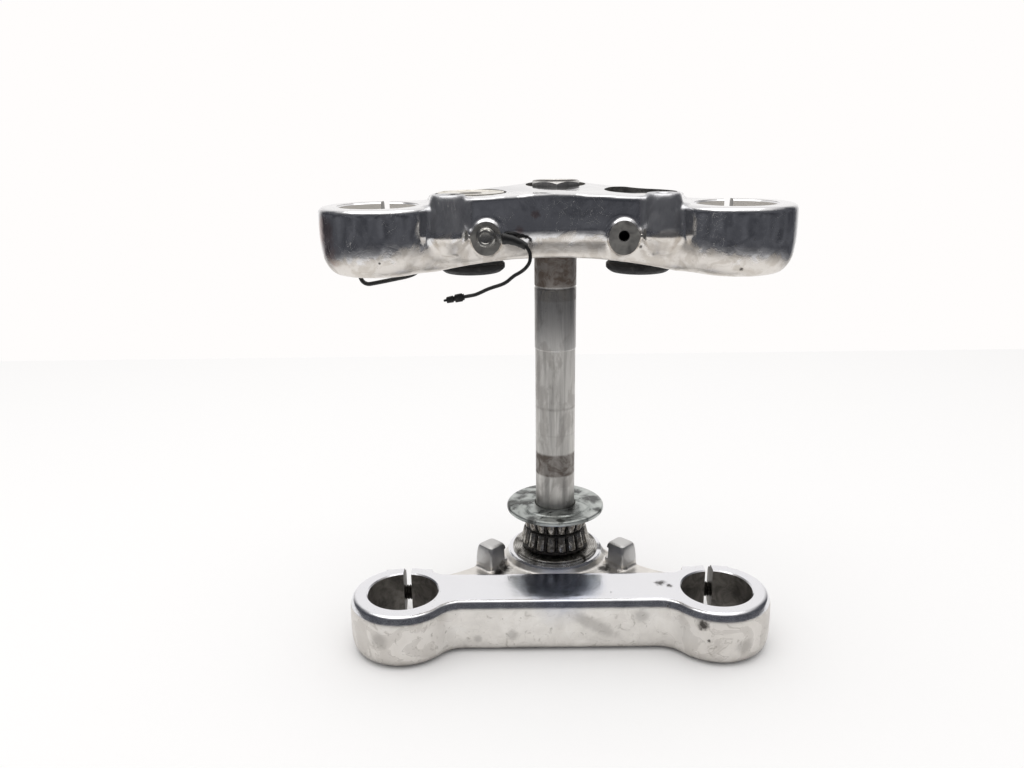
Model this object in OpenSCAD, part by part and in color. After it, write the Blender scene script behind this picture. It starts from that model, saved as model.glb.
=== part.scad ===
// Motorcycle triple clamp: lower yoke with its steering stem and taper bearings,
// and the upper yoke with its riser bushes, ground lead and wire guide.
// Frame: origin on the stem axis at the underside of the lower yoke, +Z up the stem,
// the fork tubes sit on the -Y side (front of the motorcycle), +X to the right in front view.

/* [Fork tubes] */
// Distance between the two fork tube axes
fork_spacing = 186.5; // [180:0.5:200]
// Diameter of the fork tubes that the yokes grip
fork_tube_d = 41.3; // [38:0.1:43]
// Distance from the stem axis forward to the fork tube axes
fork_offset = 62; // [58:0.5:68]
// Radial room between a fork tube and its open clamp bore
tube_room = 0.1; // [0.05:0.05:0.3]

/* [Steering stem] */
// Diameter of the stem at its bearing seats
stem_d = 25.4; // [24:0.1:26]
// Diameter of the stem between the seats
stem_waist_d = 24.8; // [22:0.1:25]
// Bore through the hollow stem
stem_bore_d = 14; // [10:0.5:16]
// Height where the waist ends and the upper seat begins
stem_seat_z = 167; // [120:1:190]
// Height of the narrow groove in the upper seat
stem_groove_z = 205; // [195:1:215]
// Depth of that groove
stem_groove_depth = 0.5; // [0.2:0.1:1]
// Width of that groove
stem_groove_w = 1.4; // [0.6:0.2:3]
// Radial room between the stem and what is pushed on it
seat_room = 0.02; // [0.01:0.01:0.1]

/* [Lower yoke] */
// Height of the lower yoke at its clamp rings
lower_h = 34; // [30:0.5:40]
// Outer radius of a lower clamp ring at its widest
lower_ring_r = 31.3; // [29:0.1:33]
// Distance from the stem axis forward to the beam's front wall
lower_front = 76; // [73:0.5:80]
// Depth of the raised front beam, front wall to rear crease
lower_beam_d = 36.5; // [32:0.5:42]
// Height of the deck between the beam and the stem boss
deck_h = 26; // [22:0.5:28]
// Radius of the stem boss at deck height
boss_r = 33; // [31:0.5:36]
// Height of the machined top of the stem boss
boss_h = 31; // [29:0.5:33]
// Radius of the machined top of the stem boss
boss_top_r = 29.5; // [28:0.5:31]
// Radius of the hollow curve between a ring and the boss at the rear
web_curve_r = 80; // [60:1:120]
// Radius of the hollow curve between the beam and a ring at the front
front_curve_r = 15; // [10:0.5:20]
// Side of a steering stop lug at its foot
lug_side = 15.5; // [12:0.5:18]
// Height of a steering stop lug's top above the floor
lug_top = 42; // [38:0.5:46]
// Distance of a stop lug from the middle plane
lug_x = 41.5; // [38:0.5:44]
// Distance of a stop lug forward of the stem axis
lug_y = 16.5; // [12:0.5:20]

/* [Upper yoke] */
// Turn of the upper yoke on the stem, nothing lines it up while the fork tubes are out
upper_yaw = -2.8; // [-4:0.1:4]
// Height of the upper yoke's underside above the floor
upper_z = 223; // [215:1:240]
// Height of the upper yoke at its clamp rings
upper_h = 36; // [32:0.5:40]
// Outer radius of an upper clamp ring at its widest
upper_ring_r = 31; // [29:0.1:33]
// Distance from the stem axis forward to the front wall
upper_front = 72; // [70:0.5:76]
// Height that the centre section stands above the rings
crown_rise = 5.5; // [3:0.5:8]
// Height of the crease in the front wall above the underside
crease_h = 20; // [16:0.5:24]
// Rise of the arch in the underside at the middle
arch_rise = 10.2; // [6:0.2:13]
// Half the width of that arch at the underside
arch_half_w = 48; // [40:1:56]
// Radius of the upper yoke's stem boss
crown_boss_r = 25; // [23:0.5:28]
// Depth of the recess that holds the stem nut
nut_sink = 6; // [3:0.5:7]
// Radius of a cone boss at its foot
cone_foot_r = 12.5; // [11:0.5:14]
// Radius of a cone boss at its top
cone_top_r = 9; // [7:0.5:10]
// Distance of a cone boss from the middle plane
cone_x = 55; // [52:0.5:58]
// Distance of a cone boss forward of the stem axis
cone_y = 68; // [65:0.5:70]
// Radius of the hole in the top of a cone boss
cone_hole_r = 3.4; // [2.5:0.1:4.5]
// Depth of that hole
cone_hole_depth = 18; // [10:1:22]
// Distance of a front boss face from the middle plane
face_x = 35.2; // [33:0.1:38]
// Height of the hole in a front boss face above the underside
face_h = 21; // [17:0.5:22]
// Radius of a front boss face
face_r = 7.8; // [7:0.1:9]
// Extra height of the egg-shaped front boss face
face_drop = 2.4; // [0:0.2:4]
// How far a front boss face stands out of the front wall
face_proud = 3.4; // [2:0.2:5]
// Radius of the threaded hole in a front boss face
face_hole_r = 2.5; // [2:0.1:3.2]
// Depth of that threaded hole
face_hole_depth = 16; // [10:1:20]

/* [Pinch clamps] */
// Width of the slit through a clamp ring
slit_w = 4.8; // [3:0.2:6]
// Diameter of a pinch bolt's shank
pinch_d = 9.5; // [8:0.1:10]
// Radial room round a pinch bolt
pinch_room = 0.15; // [0.1:0.05:0.4]
// Distance from the fork tube axis back to the pinch bolt
pinch_back = 26.4; // [25.8:0.1:28]
// Width of a pinch lug across both halves
pinch_lug_w = 30; // [26:1:34]
// Height of a pinch lug
pinch_lug_h = 26; // [22:1:28]
// Wall of a pinch lug behind the bolt
pinch_wall = 4.2; // [3:0.2:6]
// Diameter of a pinch bolt's round head
pinch_head_d = 14; // [13:0.5:16]
// Height of a pinch bolt's round head
pinch_head_h = 9.5; // [8:0.5:10]
// Width across flats of the socket in the head
socket_af = 8; // [6:0.5:8]

/* [Taper bearings] */
// Width of a bearing's inner ring
cone_ring_h = 14.2; // [13:0.1:16]
// Diameter over the rollers at their large ends
roller_over_d = 44.8; // [43:0.1:46]
// Rollers in one bearing
roller_count = 18; // [14:1:18]
// Length of a roller
roller_len = 9.6; // [8:0.1:10]
// Diameter of a roller at its large end
roller_big_d = 6.2; // [5:0.1:6.2]
// Diameter of a roller at its small end
roller_small_d = 5.3; // [4.5:0.1:5.4]
// Tilt of a roller's axis to the stem
roller_tilt = 11.2; // [9:0.1:13]
// Room between a roller and its raceway
roller_room = 0.15; // [0.1:0.05:0.3]
// Wall of the pressed steel cage
cage_wall = 1; // [0.7:0.1:1.2]
// Room between a roller and its pocket
pocket_room = 0.2; // [0.1:0.05:0.3]
// Thickness of the dust ring under the lower bearing
dust_ring_h = 2.2; // [1.5:0.1:3]
// Outer radius of that dust ring
dust_ring_r = 27.8; // [26:0.1:29]
// Outer radius of the dust shield on the upper bearing
shield_r = 31.3; // [29:0.1:33]
// Radius where the shield steps down from its seat
shield_seat_r = 23; // [21:0.5:25]
// Sheet thickness of the shield
shield_t = 1.4; // [1:0.1:2]
// Depth of the shield's turned-down rim
shield_rim_h = 2.8; // [2:0.1:4]
// Radial room round the stem in the shield's loose hole
shield_room = 0.5; // [0.3:0.1:0.8]

/* [Riser bushes] */
// Distance of a riser bush from the middle plane
bush_x = 47; // [45:0.5:49]
// Distance of a riser bush forward of the stem axis
bush_y = 30; // [28:0.5:32]
// Radius of the boss round a riser bush
bush_boss_r = 27; // [26:0.5:29]
// Radius of the rubber bush's body
bush_r = 17.2; // [16:0.1:18]
// Radius of the rubber bush's top flange
bush_flange_r = 19.4; // [18.5:0.1:20]
// Thickness of that flange
bush_flange_h = 3.2; // [2:0.2:4]
// Depth of the recess round the flange, below the crown
bush_recess = 6.5; // [5:0.5:9]
// How far the rubber hangs out of the underside
bush_hang = 3.2; // [2:0.2:5]
// Outer radius of the bush's steel sleeve
sleeve_r = 8.6; // [8:0.1:10]
// Radius of the hole through the sleeve
sleeve_hole_r = 6.5; // [6:0.1:7]
// Radius of the cup washer on the left bush
cup_r = 18.6; // [17:0.1:19]
// Sheet thickness of the cup washer
cup_t = 1.6; // [1:0.1:2]

/* [Stem nut] */
// Width across flats of the stem nut
nut_af = 27; // [25:0.5:29]
// Height of the stem nut
nut_h = 9; // [8:0.5:10]
// How far the stem ends below the top of the nut
nut_lip = 1.5; // [0.5:0.5:3]
// Radius of the recess round the nut
nut_recess_r = 17.5; // [17:0.5:19]

/* [Ground lead] */
// Width across flats of the ground bolt's head
ground_af = 8; // [7:0.5:8.5]
// Radius of the ground bolt's flange
ground_flange_r = 4.9; // [4.6:0.1:5.5]
// Outer radius of the ring terminal
terminal_r = 5.4; // [5:0.1:6]
// Sheet thickness of the ring terminal
terminal_t = 0.9; // [0.6:0.1:1.2]
// Turn of the terminal's tongue above the level
terminal_lift = -6; // [-12:1:30]
// Diameter of the ground lead
lead_d = 2.6; // [2:0.1:3]
// Diameter of the shrink sleeve at the terminal
shrink_big_d = 6; // [5:0.2:7]
// Diameter of the shrink sleeve at the lead
shrink_small_d = 3.6; // [3.2:0.2:4.6]
// Diameter of the wire guide under the left ring
guide_d = 2.4; // [2:0.1:3]

/* [Hidden] */
$fn = 64;
eps = 0.01;

fork_c = [fork_spacing / 2, -fork_offset];
fork_bore_r = fork_tube_d / 2 + tube_room;
bush_c = [bush_x, -bush_y];
crown_top = upper_z + upper_h + crown_rise;
crease_z = upper_z + crease_h;
cone_top = crown_top + 0.4;
cone_seat_z = boss_h + dust_ring_h;
stack_top = cone_seat_z + 2 * cone_ring_h;
nut_z = crown_top - nut_sink;
stem_top = nut_z + nut_h - nut_lip;
pinch_y = -fork_offset + pinch_back;
lower_pinch_z = lower_h / 2 + 1;
upper_pinch_z = upper_z + upper_h / 2;
face_y = -upper_front - face_proud;
flange_z = crown_top - bush_recess;

cast_grey = "#b9b6b1";
polish = "#c9cbce";
steel = "#8f8d88";
dark_steel = "#4a4845";
zinc = "#7f8788";
rubber = "#1d1d1f";
black = "#161617";

// Direction of a plan vector, in degrees
function heading(v) = atan2(v[1], v[0]);

// Arc about c with radius r from the direction of p to the direction of q
function arc(c, r, p, q, turn, n) =
    let (a = heading(p - c), b0 = heading(q - c),
         b = turn > 0 ? (b0 <= a ? b0 + 360 : b0) : (b0 >= a ? b0 - 360 : b0))
    [for (i = [0:n]) c + r * [cos(a + (b - a) * i / n), sin(a + (b - a) * i / n)]];

// Centre of a circle of radius rf that touches two circles from outside, rear side
function touch(a, ra, b, rb, rf) =
    let (d = norm(b - a), u = (b - a) / d, p = ra + rf, q = rb + rf,
         t = (p * p - q * q + d * d) / (2 * d), h = sqrt(p * p - t * t))
    a + t * u + h * [-u[1], u[0]];

// Centre of a circle of radius rf that touches the line y = yl on side s and a circle
function touch_line(yl, s, c, rc, rf) =
    let (y = yl + s * rf) [c[0] - sqrt(pow(rc + rf, 2) - pow(y - c[1], 2)), y];

// A half outline and its mirror image, as one closed loop at height z
function both(half, z) = concat(
    [for (p = half) [p[0], p[1], z]],
    [for (i = [len(half) - 1:-1:0]) if (half[i][0] > eps) [-half[i][0], half[i][1], z]]);

// Marks plan points with the hub that fans out to the edge after them; k1 takes the second half
function tag(pts, k0, k1) =
    [for (i = [0:len(pts) - 1]) [pts[i][0], pts[i][1], i < len(pts) / 2 || is_undef(k1) ? k0 : k1]];

// A list without its first point, which the curve before it already has
function rest(l) = [for (i = [1:len(l) - 1]) l[i]];

// Hubs of the whole outline, and the hub of each of its edges, from the right half
function both_hubs(h) = concat(h, [for (i = [1:1:len(h) - 1]) [-h[i][0], h[i][1]]]);
function both_ids(half, count) = concat(
    [for (p = half) p[2]],
    [for (i = [len(half) - 1:-1:1]) if (half[i][0] > eps)
        let (k = half[i - 1][2]) k == 0 ? 0 : k + count - 1]);

// Triangles from the hubs to the edges of a flat loop, and between neighbouring hubs
function fan(first, n, hub, ids) = [for (i = [0:n - 1])
    let (j = (i + 1) % n, a = hub + ids[i], b = hub + ids[j])
    each concat([[first + i, first + j, a]], a == b ? [] : [[a, first + j, b]])];

// Solid through closed loops of equal length, lowest first, each anticlockwise from above
module loft(loops, hubs = [], ids = []) {
    n = len(loops[0]);
    m = len(loops);
    last = (m - 1) * n;
    foot = len(hubs) == 0 ? [[for (i = [0:n - 1]) i]] : fan(0, n, m * n, ids);
    head = len(hubs) == 0 ? [[for (i = [0:n - 1]) last + i]] : fan(last, n, m * n + len(hubs), ids);
    polyhedron(
        points = concat([for (l = loops) each l],
            [for (z = [loops[0][0][2], loops[m - 1][0][2]], h = hubs) [h[0], h[1], z]]),
        faces = concat(foot,
            [for (j = [0:m - 2], i = [0:n - 1])
                [j * n + i, (j + 1) * n + i, (j + 1) * n + (i + 1) % n, j * n + (i + 1) % n]],
            [for (t = head) [for (i = [len(t) - 1:-1:0]) t[i]]]),
        convexity = 8);
}

// Solid from a marked half outline at several insets, with hubs to fan its flat ends from
module shell(halves, heights, hubs) {
    loft([for (i = [0:len(halves) - 1]) both(halves[i], heights[i])],
        both_hubs(hubs), both_ids(halves[0], len(hubs)));
}

// Round tube along a path that lies nearly in the XZ plane
module tube_along(path, r, sides) {
    last = len(path) - 1;
    loops = [for (i = [0:last])
        let (d = path[min(i + 1, last)] - path[max(i - 1, 0)], t = d / norm(d),
             u0 = cross([0, 1, 0], t), u = u0 / norm(u0), v = cross(t, u))
        [for (k = [0:sides - 1]) path[i] + r * (cos(360 * k / sides) * u + sin(360 * k / sides) * v)]];
    loft(loops);
}

// Front curve from the wall y = -front into a clamp ring, drawn inset by e
function front_half(front, ring_r, e, first, second) =
    let (f = touch_line(-front, -1, fork_c, ring_r, front_curve_r))
    concat([[0, -front + e, 0]], tag(arc(f, front_curve_r + e, f + [0, 1], fork_c, -1, 6), first, second));

// Lower clamp rings and the raised beam between them
function beam_half(e) =
    let (f = touch_line(-lower_front, -1, fork_c, lower_ring_r, front_curve_r),
         rear_y = -lower_front + lower_beam_d,
         g = touch_line(rear_y, 1, fork_c, lower_ring_r, beam_curve_r))
    concat(front_half(lower_front, lower_ring_r, e, 0, 1),
        tag(rest(arc(fork_c, lower_ring_r - e, f, g, 1, 28)), 1),
        tag(rest(arc(g, beam_curve_r + e, fork_c, g - [0, 1], -1, 5)), 1, 0),
        [[0, rear_y - e, 0]]);
beam_curve_r = 8;
beam_hubs = [[0, -fork_offset], fork_c];

// Deck from the beam back to the stem boss
function deck_half(e) =
    let (ring_r = lower_ring_r - deck_tuck,
         q = touch([0, 0], boss_r + deck_skin, fork_c, ring_r, web_curve_r))
    tag(concat([[0, -fork_offset], fork_c],
        arc(q, web_curve_r + e, fork_c, [0, 0], -1, 14),
        rest(arc([0, 0], boss_r + deck_skin - e, q, [0, 1], 1, 8))), 0);
deck_hubs = [[0, -fork_offset / 2]];
deck_tuck = 3;
deck_skin = 0.6;

// Insets of the lower beam's wall: rounded top edge, draft to the widest, rounded foot
beam_levels = [[0, 6], [1.2, 3.2], [3.5, 1.3], [7, 0.35], [14, 0], [lower_h - 3.5, 1.05],
    [lower_h - 1.8, 1.55], [lower_h - 0.7, 2.4], [lower_h, 3.7]];
deck_levels = [[1, 2.4], [2.5, 0.8], [6, 0], [deck_h - 4, 0], [deck_h - 1.7, 0.4],
    [deck_h - 0.6, 1.2], [deck_h, 2.6]];

// Clamp slit, bore and pinch bolt hole of one ring, right-hand side, z from z0 to z1
module clamp_cuts(z0, z1, bolt_z) {
    translate([fork_c[0], fork_c[1], z0 - 1]) cylinder(r = fork_bore_r, h = z1 - z0 + 2, $fn = 96);
    translate([fork_c[0] - slit_w / 2, fork_c[1] + fork_bore_r - 3, z0 - 1])
        cube([slit_w, pinch_back, z1 - z0 + 2]);
    translate([fork_c[0], pinch_y, bolt_z]) rotate([0, 90, 0])
        cylinder(r = pinch_d / 2 + pinch_room, h = pinch_lug_w + 4, center = true, $fn = 48);
    translate([fork_c[0] + pinch_lug_w / 2, pinch_y, bolt_z]) rotate([0, 90, 0])
        cylinder(r = pinch_head_d / 2 + head_room, h = pinch_head_h * 3, $fn = 48);
}
head_room = 0.6;

// Lug behind a clamp ring that the pinch bolt draws together, right-hand side
module pinch_lug(bolt_z) {
    reach = pinch_d / 2 + pinch_wall;
    corner = 5;
    half_h = pinch_lug_h / 2;
    translate([fork_c[0] - pinch_lug_w / 2, pinch_y, bolt_z]) rotate([90, 0, 90])
        linear_extrude(pinch_lug_w) hull($fn = 32) {
            translate([-pinch_lug_root, -half_h]) square([1, pinch_lug_h]);
            for (s = [-1, 1]) translate([reach - corner, s * (half_h - corner)]) circle(r = corner);
        }
}
pinch_lug_root = 4;

// Cast steering stop lug, turned 45 degrees, tapered with a domed top
module stop_lug() {
    foot = lug_side - 5;
    translate([lug_x, -lug_y, 0]) rotate([0, 0, 45]) hull($fn = 32) {
        translate([0, 0, deck_h - 4]) linear_extrude(2)
            for (a = [-1, 1], b = [-1, 1]) translate([a * foot / 2, b * foot / 2]) circle(r = 2.5, $fn = 20);
        for (a = [-1, 1], b = [-1, 1])
            translate([a * (foot / 2 - 1.4), b * (foot / 2 - 1.4), lug_top - 2.5]) sphere(r = 2.5, $fn = 20);
    }
}

module lower_yoke() {
    color(cast_grey) difference() {
        union() {
            shell([for (l = beam_levels) beam_half(l[1])], [for (l = beam_levels) l[0]], beam_hubs);
            shell([for (l = deck_levels) deck_half(l[1])], [for (l = deck_levels) l[0]], deck_hubs);
            rotate_extrude($fn = 96) polygon([[0, 0], [boss_r - 2, 0], [boss_r, 2],
                [boss_r, deck_h - 1], [boss_top_r, boss_h], [0, boss_h]]);
            for (m = [0, 1]) mirror([m, 0, 0]) {
                stop_lug();
                pinch_lug(lower_pinch_z);
            }
        }
        for (m = [0, 1]) mirror([m, 0, 0]) clamp_cuts(0, lower_h, lower_pinch_z);
        translate([0, 0, -1]) cylinder(r = stem_d / 2 + seat_room, h = boss_h + 2, $fn = 96);
    }
}

module steering_stem() {
    r = stem_d / 2;
    w = stem_waist_d / 2;
    b = stem_bore_d / 2;
    g = stem_groove_w / 2;
    color(steel) rotate_extrude($fn = 96) polygon([[b, 0], [r - 0.5, 0], [r, 0.5],
        [r, stack_top + 3], [w, stack_top + 4], [w, stem_seat_z - 0.5], [r, stem_seat_z],
        [r, stem_groove_z - g], [r - stem_groove_depth, stem_groove_z - g],
        [r - stem_groove_depth, stem_groove_z + g], [r, stem_groove_z + g],
        [r, stem_top - 1], [r - 1, stem_top], [b + 0.8, stem_top], [b, stem_top - 0.8]]);
}

module lower_dust_ring() {
    color(dark_steel) translate([0, 0, boss_h]) rotate_extrude($fn = 96)
        polygon([[stem_d / 2 + seat_room, 0], [dust_ring_r, 0], [dust_ring_r, dust_ring_h - 0.6],
            [dust_ring_r - 0.6, dust_ring_h], [stem_d / 2 + seat_room, dust_ring_h]]);
}

// Bearing geometry, with z from the back face of the inner ring towards its small end
rib_h = 2.5;
big_c = roller_over_d / 2 - roller_big_d / 2 * cos(roller_tilt);
small_c = big_c - roller_len * sin(roller_tilt);
roller_base_z = rib_h + roller_big_d / 2 * sin(roller_tilt) + 0.25;
roller_top_z = roller_base_z + roller_len * cos(roller_tilt);
race_big_r = big_c - roller_big_d / 2 / cos(roller_tilt) - roller_room;
race_small_r = small_c - roller_small_d / 2 / cos(roller_tilt) - roller_room;

// Inner ring: bore, large rib, conical raceway and small end
module bearing_cone() {
    b = stem_d / 2 + seat_room;
    rise = (race_small_r - race_big_r) / (roller_top_z - roller_base_z);
    color(dark_steel) rotate_extrude($fn = 96) polygon([[b, 0.6], [b + 0.6, 0],
        [race_big_r + 2.1, 0], [race_big_r + 2.6, 0.5], [race_big_r + 2.2, rib_h - 0.2],
        [race_big_r + (rib_h - roller_base_z) * rise, rib_h - 0.2],
        [race_small_r + (cone_ring_h - roller_top_z) * rise, cone_ring_h - 0.3],
        [race_small_r - 0.8, cone_ring_h], [b, cone_ring_h]]);
}

// Rollers of one bearing, each a short cone that leans in towards the small end
module bearing_rollers() {
    color(steel) for (i = [0:roller_count - 1]) rotate([0, 0, 360 * i / roller_count])
        translate([big_c, 0, roller_base_z]) rotate([0, -roller_tilt, 0])
            cylinder(r1 = roller_big_d / 2, r2 = roller_small_d / 2, h = roller_len, $fn = 20);
}

// Pressed cage: a conical shell outside the roller axes, with one pocket a roller
module bearing_cage() {
    lift = 1.5;
    end = 1.7;
    half = cage_wall / 2;
    z0 = roller_base_z - end;
    z1 = roller_top_z + end - 0.9;
    rise = (small_c - big_c) / (roller_top_z - roller_base_z);
    r0 = big_c + lift + (z0 - roller_base_z) * rise;
    r1 = big_c + lift + (z1 - roller_base_z) * rise;
    color(black) difference() {
        rotate_extrude($fn = 96) polygon([[r0 - half, z0], [r0 + half, z0], [r1 + half, z1],
            [r1 - half - cage_lip, z1], [r1 - half - cage_lip, z1 - cage_wall * 0.7],
            [r1 - half, z1 - cage_wall * 0.7]]);
        for (i = [0:roller_count - 1]) rotate([0, 0, 360 * i / roller_count])
            translate([big_c, 0, roller_base_z]) rotate([0, -roller_tilt, 0]) pocket(lift - half);
    }
}
cage_lip = 1.2;

// Tapered opening as wide as the roller where the cage's inner face cuts it
module pocket(d) {
    w0 = sqrt(pow(roller_big_d / 2, 2) - d * d) + pocket_room;
    w1 = sqrt(pow(roller_small_d / 2, 2) - d * d) + pocket_room;
    rotate([90, 0, 90]) linear_extrude(8)
        polygon([[-w0, -pocket_room], [w0, -pocket_room],
            [w1, roller_len + pocket_room], [-w1, roller_len + pocket_room]]);
}

// Lower bearing stands on its back face, the upper one lies inverted on top of it
module at_lower() translate([0, 0, cone_seat_z]) children();
module at_upper() translate([0, 0, stack_top]) mirror([0, 0, 1]) children();

module lower_bearing_cone() at_lower() bearing_cone();
module lower_bearing_cage() at_lower() bearing_cage();
module lower_bearing_rollers() at_lower() bearing_rollers();
module upper_bearing_cone() at_upper() bearing_cone();
module upper_bearing_cage() at_upper() bearing_cage();
module upper_bearing_rollers() at_upper() bearing_rollers();

module upper_dust_shield() {
    b = stem_d / 2 + shield_room;
    t = shield_t;
    step = 0.7;
    color(zinc) translate([0, 0, stack_top]) rotate_extrude($fn = 96)
        polygon([[b, 0], [shield_seat_r - 1, 0], [shield_seat_r, -step], [shield_r - t, -step],
            [shield_r - t, t - step - shield_rim_h], [shield_r, t - step - shield_rim_h],
            [shield_r, t - step - 0.7], [shield_r - 0.7, t - step], [shield_seat_r + 0.6, t - step],
            [shield_seat_r - 0.4, t], [b, t]]);
}

// Plan of the upper yoke: front wall, clamp rings, bush bosses and stem boss, inset by e
function upper_half(e) =
    let (f = touch_line(-upper_front, -1, fork_c, upper_ring_r, front_curve_r),
         g = touch(bush_c, bush_boss_r, fork_c, upper_ring_r, rear_curve_r),
         h = touch([0, 0], crown_boss_r, bush_c, bush_boss_r, rear_curve_r + 6))
    concat(front_half(upper_front, upper_ring_r, e, 1, 2),
        tag(rest(arc(fork_c, upper_ring_r - e, f, g, 1, 22)), 2),
        tag(rest(arc(g, rear_curve_r + e, fork_c, bush_c, -1, 4)), 2, 1),
        tag(rest(arc(bush_c, bush_boss_r - e, g, h, 1, 6)), 1),
        tag(rest(arc(h, rear_curve_r + 6 + e, bush_c, [0, 0], -1, 5)), 1, 0),
        tag(rest(arc([0, 0], crown_boss_r - e, h, [0, 1], 1, 5)), 0));
rear_curve_r = 14;
upper_hubs = [[0, -bush_y], bush_c + [2, -3], fork_c];

// Plan of the raised centre section, inset by e
function crown_half(e) =
    let (k = [cone_x - 1, -upper_front - crown_proud + crown_corner_r],
         rb = bush_boss_r - crown_tuck, rs = crown_boss_r - crown_tuck,
         h = touch([0, 0], crown_boss_r, bush_c, bush_boss_r, rear_curve_r + 6),
         d = norm(bush_c - k),
         a = heading(bush_c - k) - 90 - asin((rb - crown_corner_r) / d),
         out = [cos(a), sin(a)])
    concat([[0, -upper_front - crown_proud + e, 0]],
        tag(arc(k, crown_corner_r - e, k - [0, 1], k + out, 1, 6), 1),
        tag(arc(bush_c, rb - e, bush_c + out, h, 1, 8), 1),
        tag(rest(arc(h, rear_curve_r + 6 + crown_tuck + e, bush_c, [0, 0], -1, 5)), 1, 0),
        tag(rest(arc([0, 0], rs - e, h, [0, 1], 1, 5)), 0));
crown_hubs = [[0, -bush_y], bush_c];
crown_proud = 0.6;
crown_corner_r = 10;
crown_tuck = 4.2;

// Insets of the upper yoke's wall: the foot rounds far under, the top edge is rounded off
upper_levels = [[0, 9], [1, 7.4], [3, 5.6], [6.5, 3.4], [12, 1.2], [crease_h, 0],
    [upper_h - 4, 0], [upper_h - 1.8, 0.6], [upper_h - 0.5, 1.5], [upper_h, 2.7]];
crown_levels = [[crease_h - 4, 8], [crease_h - 0.4, 0], [upper_h + crown_rise - 3.5, 0.1],
    [upper_h + crown_rise - 1.6, 0.5], [upper_h + crown_rise - 0.5, 1.3], [upper_h + crown_rise, 2.4]];

// Cone boss beside a ring: tapers up to the crown and rounds under below the crease
module cone_boss() {
    translate([cone_x, -cone_y, 0]) rotate_extrude($fn = 64)
        polygon([[0, crease_z - 8], [cone_foot_r - 6, crease_z - 8], [cone_foot_r, crease_z + 0.3],
            [cone_top_r, cone_top - 0.8], [cone_top_r - 0.8, cone_top], [0, cone_top]]);
}

// Egg-shaped machined face on the front wall, its hole axis along Y
module face_boss() {
    translate([face_x, face_y, face_z]) rotate([-90, 0, 0]) linear_extrude(face_proud + 12) {
        hull($fn = 48) {
            circle(r = face_r);
            translate([0, face_drop]) circle(r = face_r - 0.5);
        }
    }
}

module upper_yoke() {
    arch_r = (arch_half_w * arch_half_w + arch_rise * arch_rise) / (2 * arch_rise);
    color(polish) rotate([0, 0, upper_yaw]) difference() {
        union() {
            translate([0, 0, upper_z]) {
                shell([for (l = upper_levels) upper_half(l[1])], [for (l = upper_levels) l[0]], upper_hubs);
                shell([for (l = crown_levels) crown_half(l[1])], [for (l = crown_levels) l[0]], crown_hubs);
            }
            for (m = [0, 1]) mirror([m, 0, 0]) {
                cone_boss();
                face_boss();
                pinch_lug(upper_pinch_z);
            }
        }
        translate([0, -crown_boss_r + 2, upper_z + arch_rise - arch_r]) rotate([90, 0, 0])
            cylinder(r = arch_r, h = upper_front, $fn = 180);
        for (m = [0, 1]) mirror([m, 0, 0]) {
            clamp_cuts(upper_z, upper_z + upper_h, upper_pinch_z);
            translate([bush_c[0], bush_c[1], upper_z - 1])
                cylinder(r = bush_r + bush_room, h = upper_h + crown_rise + 2, $fn = 96);
            translate([bush_c[0], bush_c[1], flange_z]) cylinder(r = bush_flange_r + 0.6, h = 20, $fn = 96);
            translate([cone_x, -cone_y, cone_top - cone_hole_depth])
                cylinder(r = cone_hole_r, h = cone_hole_depth + 1, $fn = 32);
            translate([face_x, face_y + face_hole_depth, face_z]) rotate([90, 0, 0])
                cylinder(r = face_hole_r, h = face_hole_depth + 1, $fn = 32);
        }
        for (x = [guide_left, guide_right]) translate([x, guide_y, upper_z - 1])
            cylinder(r = guide_d / 2 + guide_room, h = guide_end_z - upper_z + 1.3, $fn = 24);
        translate([0, 0, upper_z - 1])
            cylinder(r = stem_d / 2 + seat_room, h = upper_h + crown_rise + 2, $fn = 96);
        translate([0, 0, nut_z]) cylinder(r = nut_recess_r, h = nut_sink + 1, $fn = 96);
    }
}
bush_room = 0.05;
guide_room = 0.05;

module stem_nut() {
    r = nut_af / 2 / cos(30);
    color(steel) translate([0, 0, nut_z]) rotate([0, 0, 30]) difference() {
        intersection() {
            cylinder(r = r, h = nut_h, $fn = 6);
            rotate_extrude($fn = 96)
                polygon([[0, 0], [r, 0], [r, nut_h - 1.4], [nut_af / 2 - 0.4, nut_h], [0, nut_h]]);
        }
        translate([0, 0, -1]) cylinder(r = stem_d / 2 + seat_room, h = nut_h + 2, $fn = 96);
    }
}

// Pinch bolt with a round socket head, drawn for the right-hand ring, head outside
module pinch_bolt(bolt_z) {
    translate([fork_c[0] - pinch_lug_w / 2 - 1, pinch_y, bolt_z]) rotate([0, 90, 0]) {
        cylinder(d = pinch_d, h = pinch_lug_w + 1, $fn = 48);
        translate([0, 0, pinch_lug_w + 1]) difference() {
            rotate_extrude($fn = 48) polygon([[0, 0], [pinch_head_d / 2, 0],
                [pinch_head_d / 2, pinch_head_h - 0.8], [pinch_head_d / 2 - 0.8, pinch_head_h],
                [0, pinch_head_h]]);
            translate([0, 0, pinch_head_h - 5]) cylinder(r = socket_af / 2 / cos(30), h = 6, $fn = 6);
        }
    }
}

module lower_pinch_bolts() color(dark_steel)
    for (m = [0, 1]) mirror([m, 0, 0]) pinch_bolt(lower_pinch_z);

module upper_pinch_bolts() color(dark_steel) rotate([0, 0, upper_yaw])
    for (m = [0, 1]) mirror([m, 0, 0]) pinch_bolt(upper_pinch_z);

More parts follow.
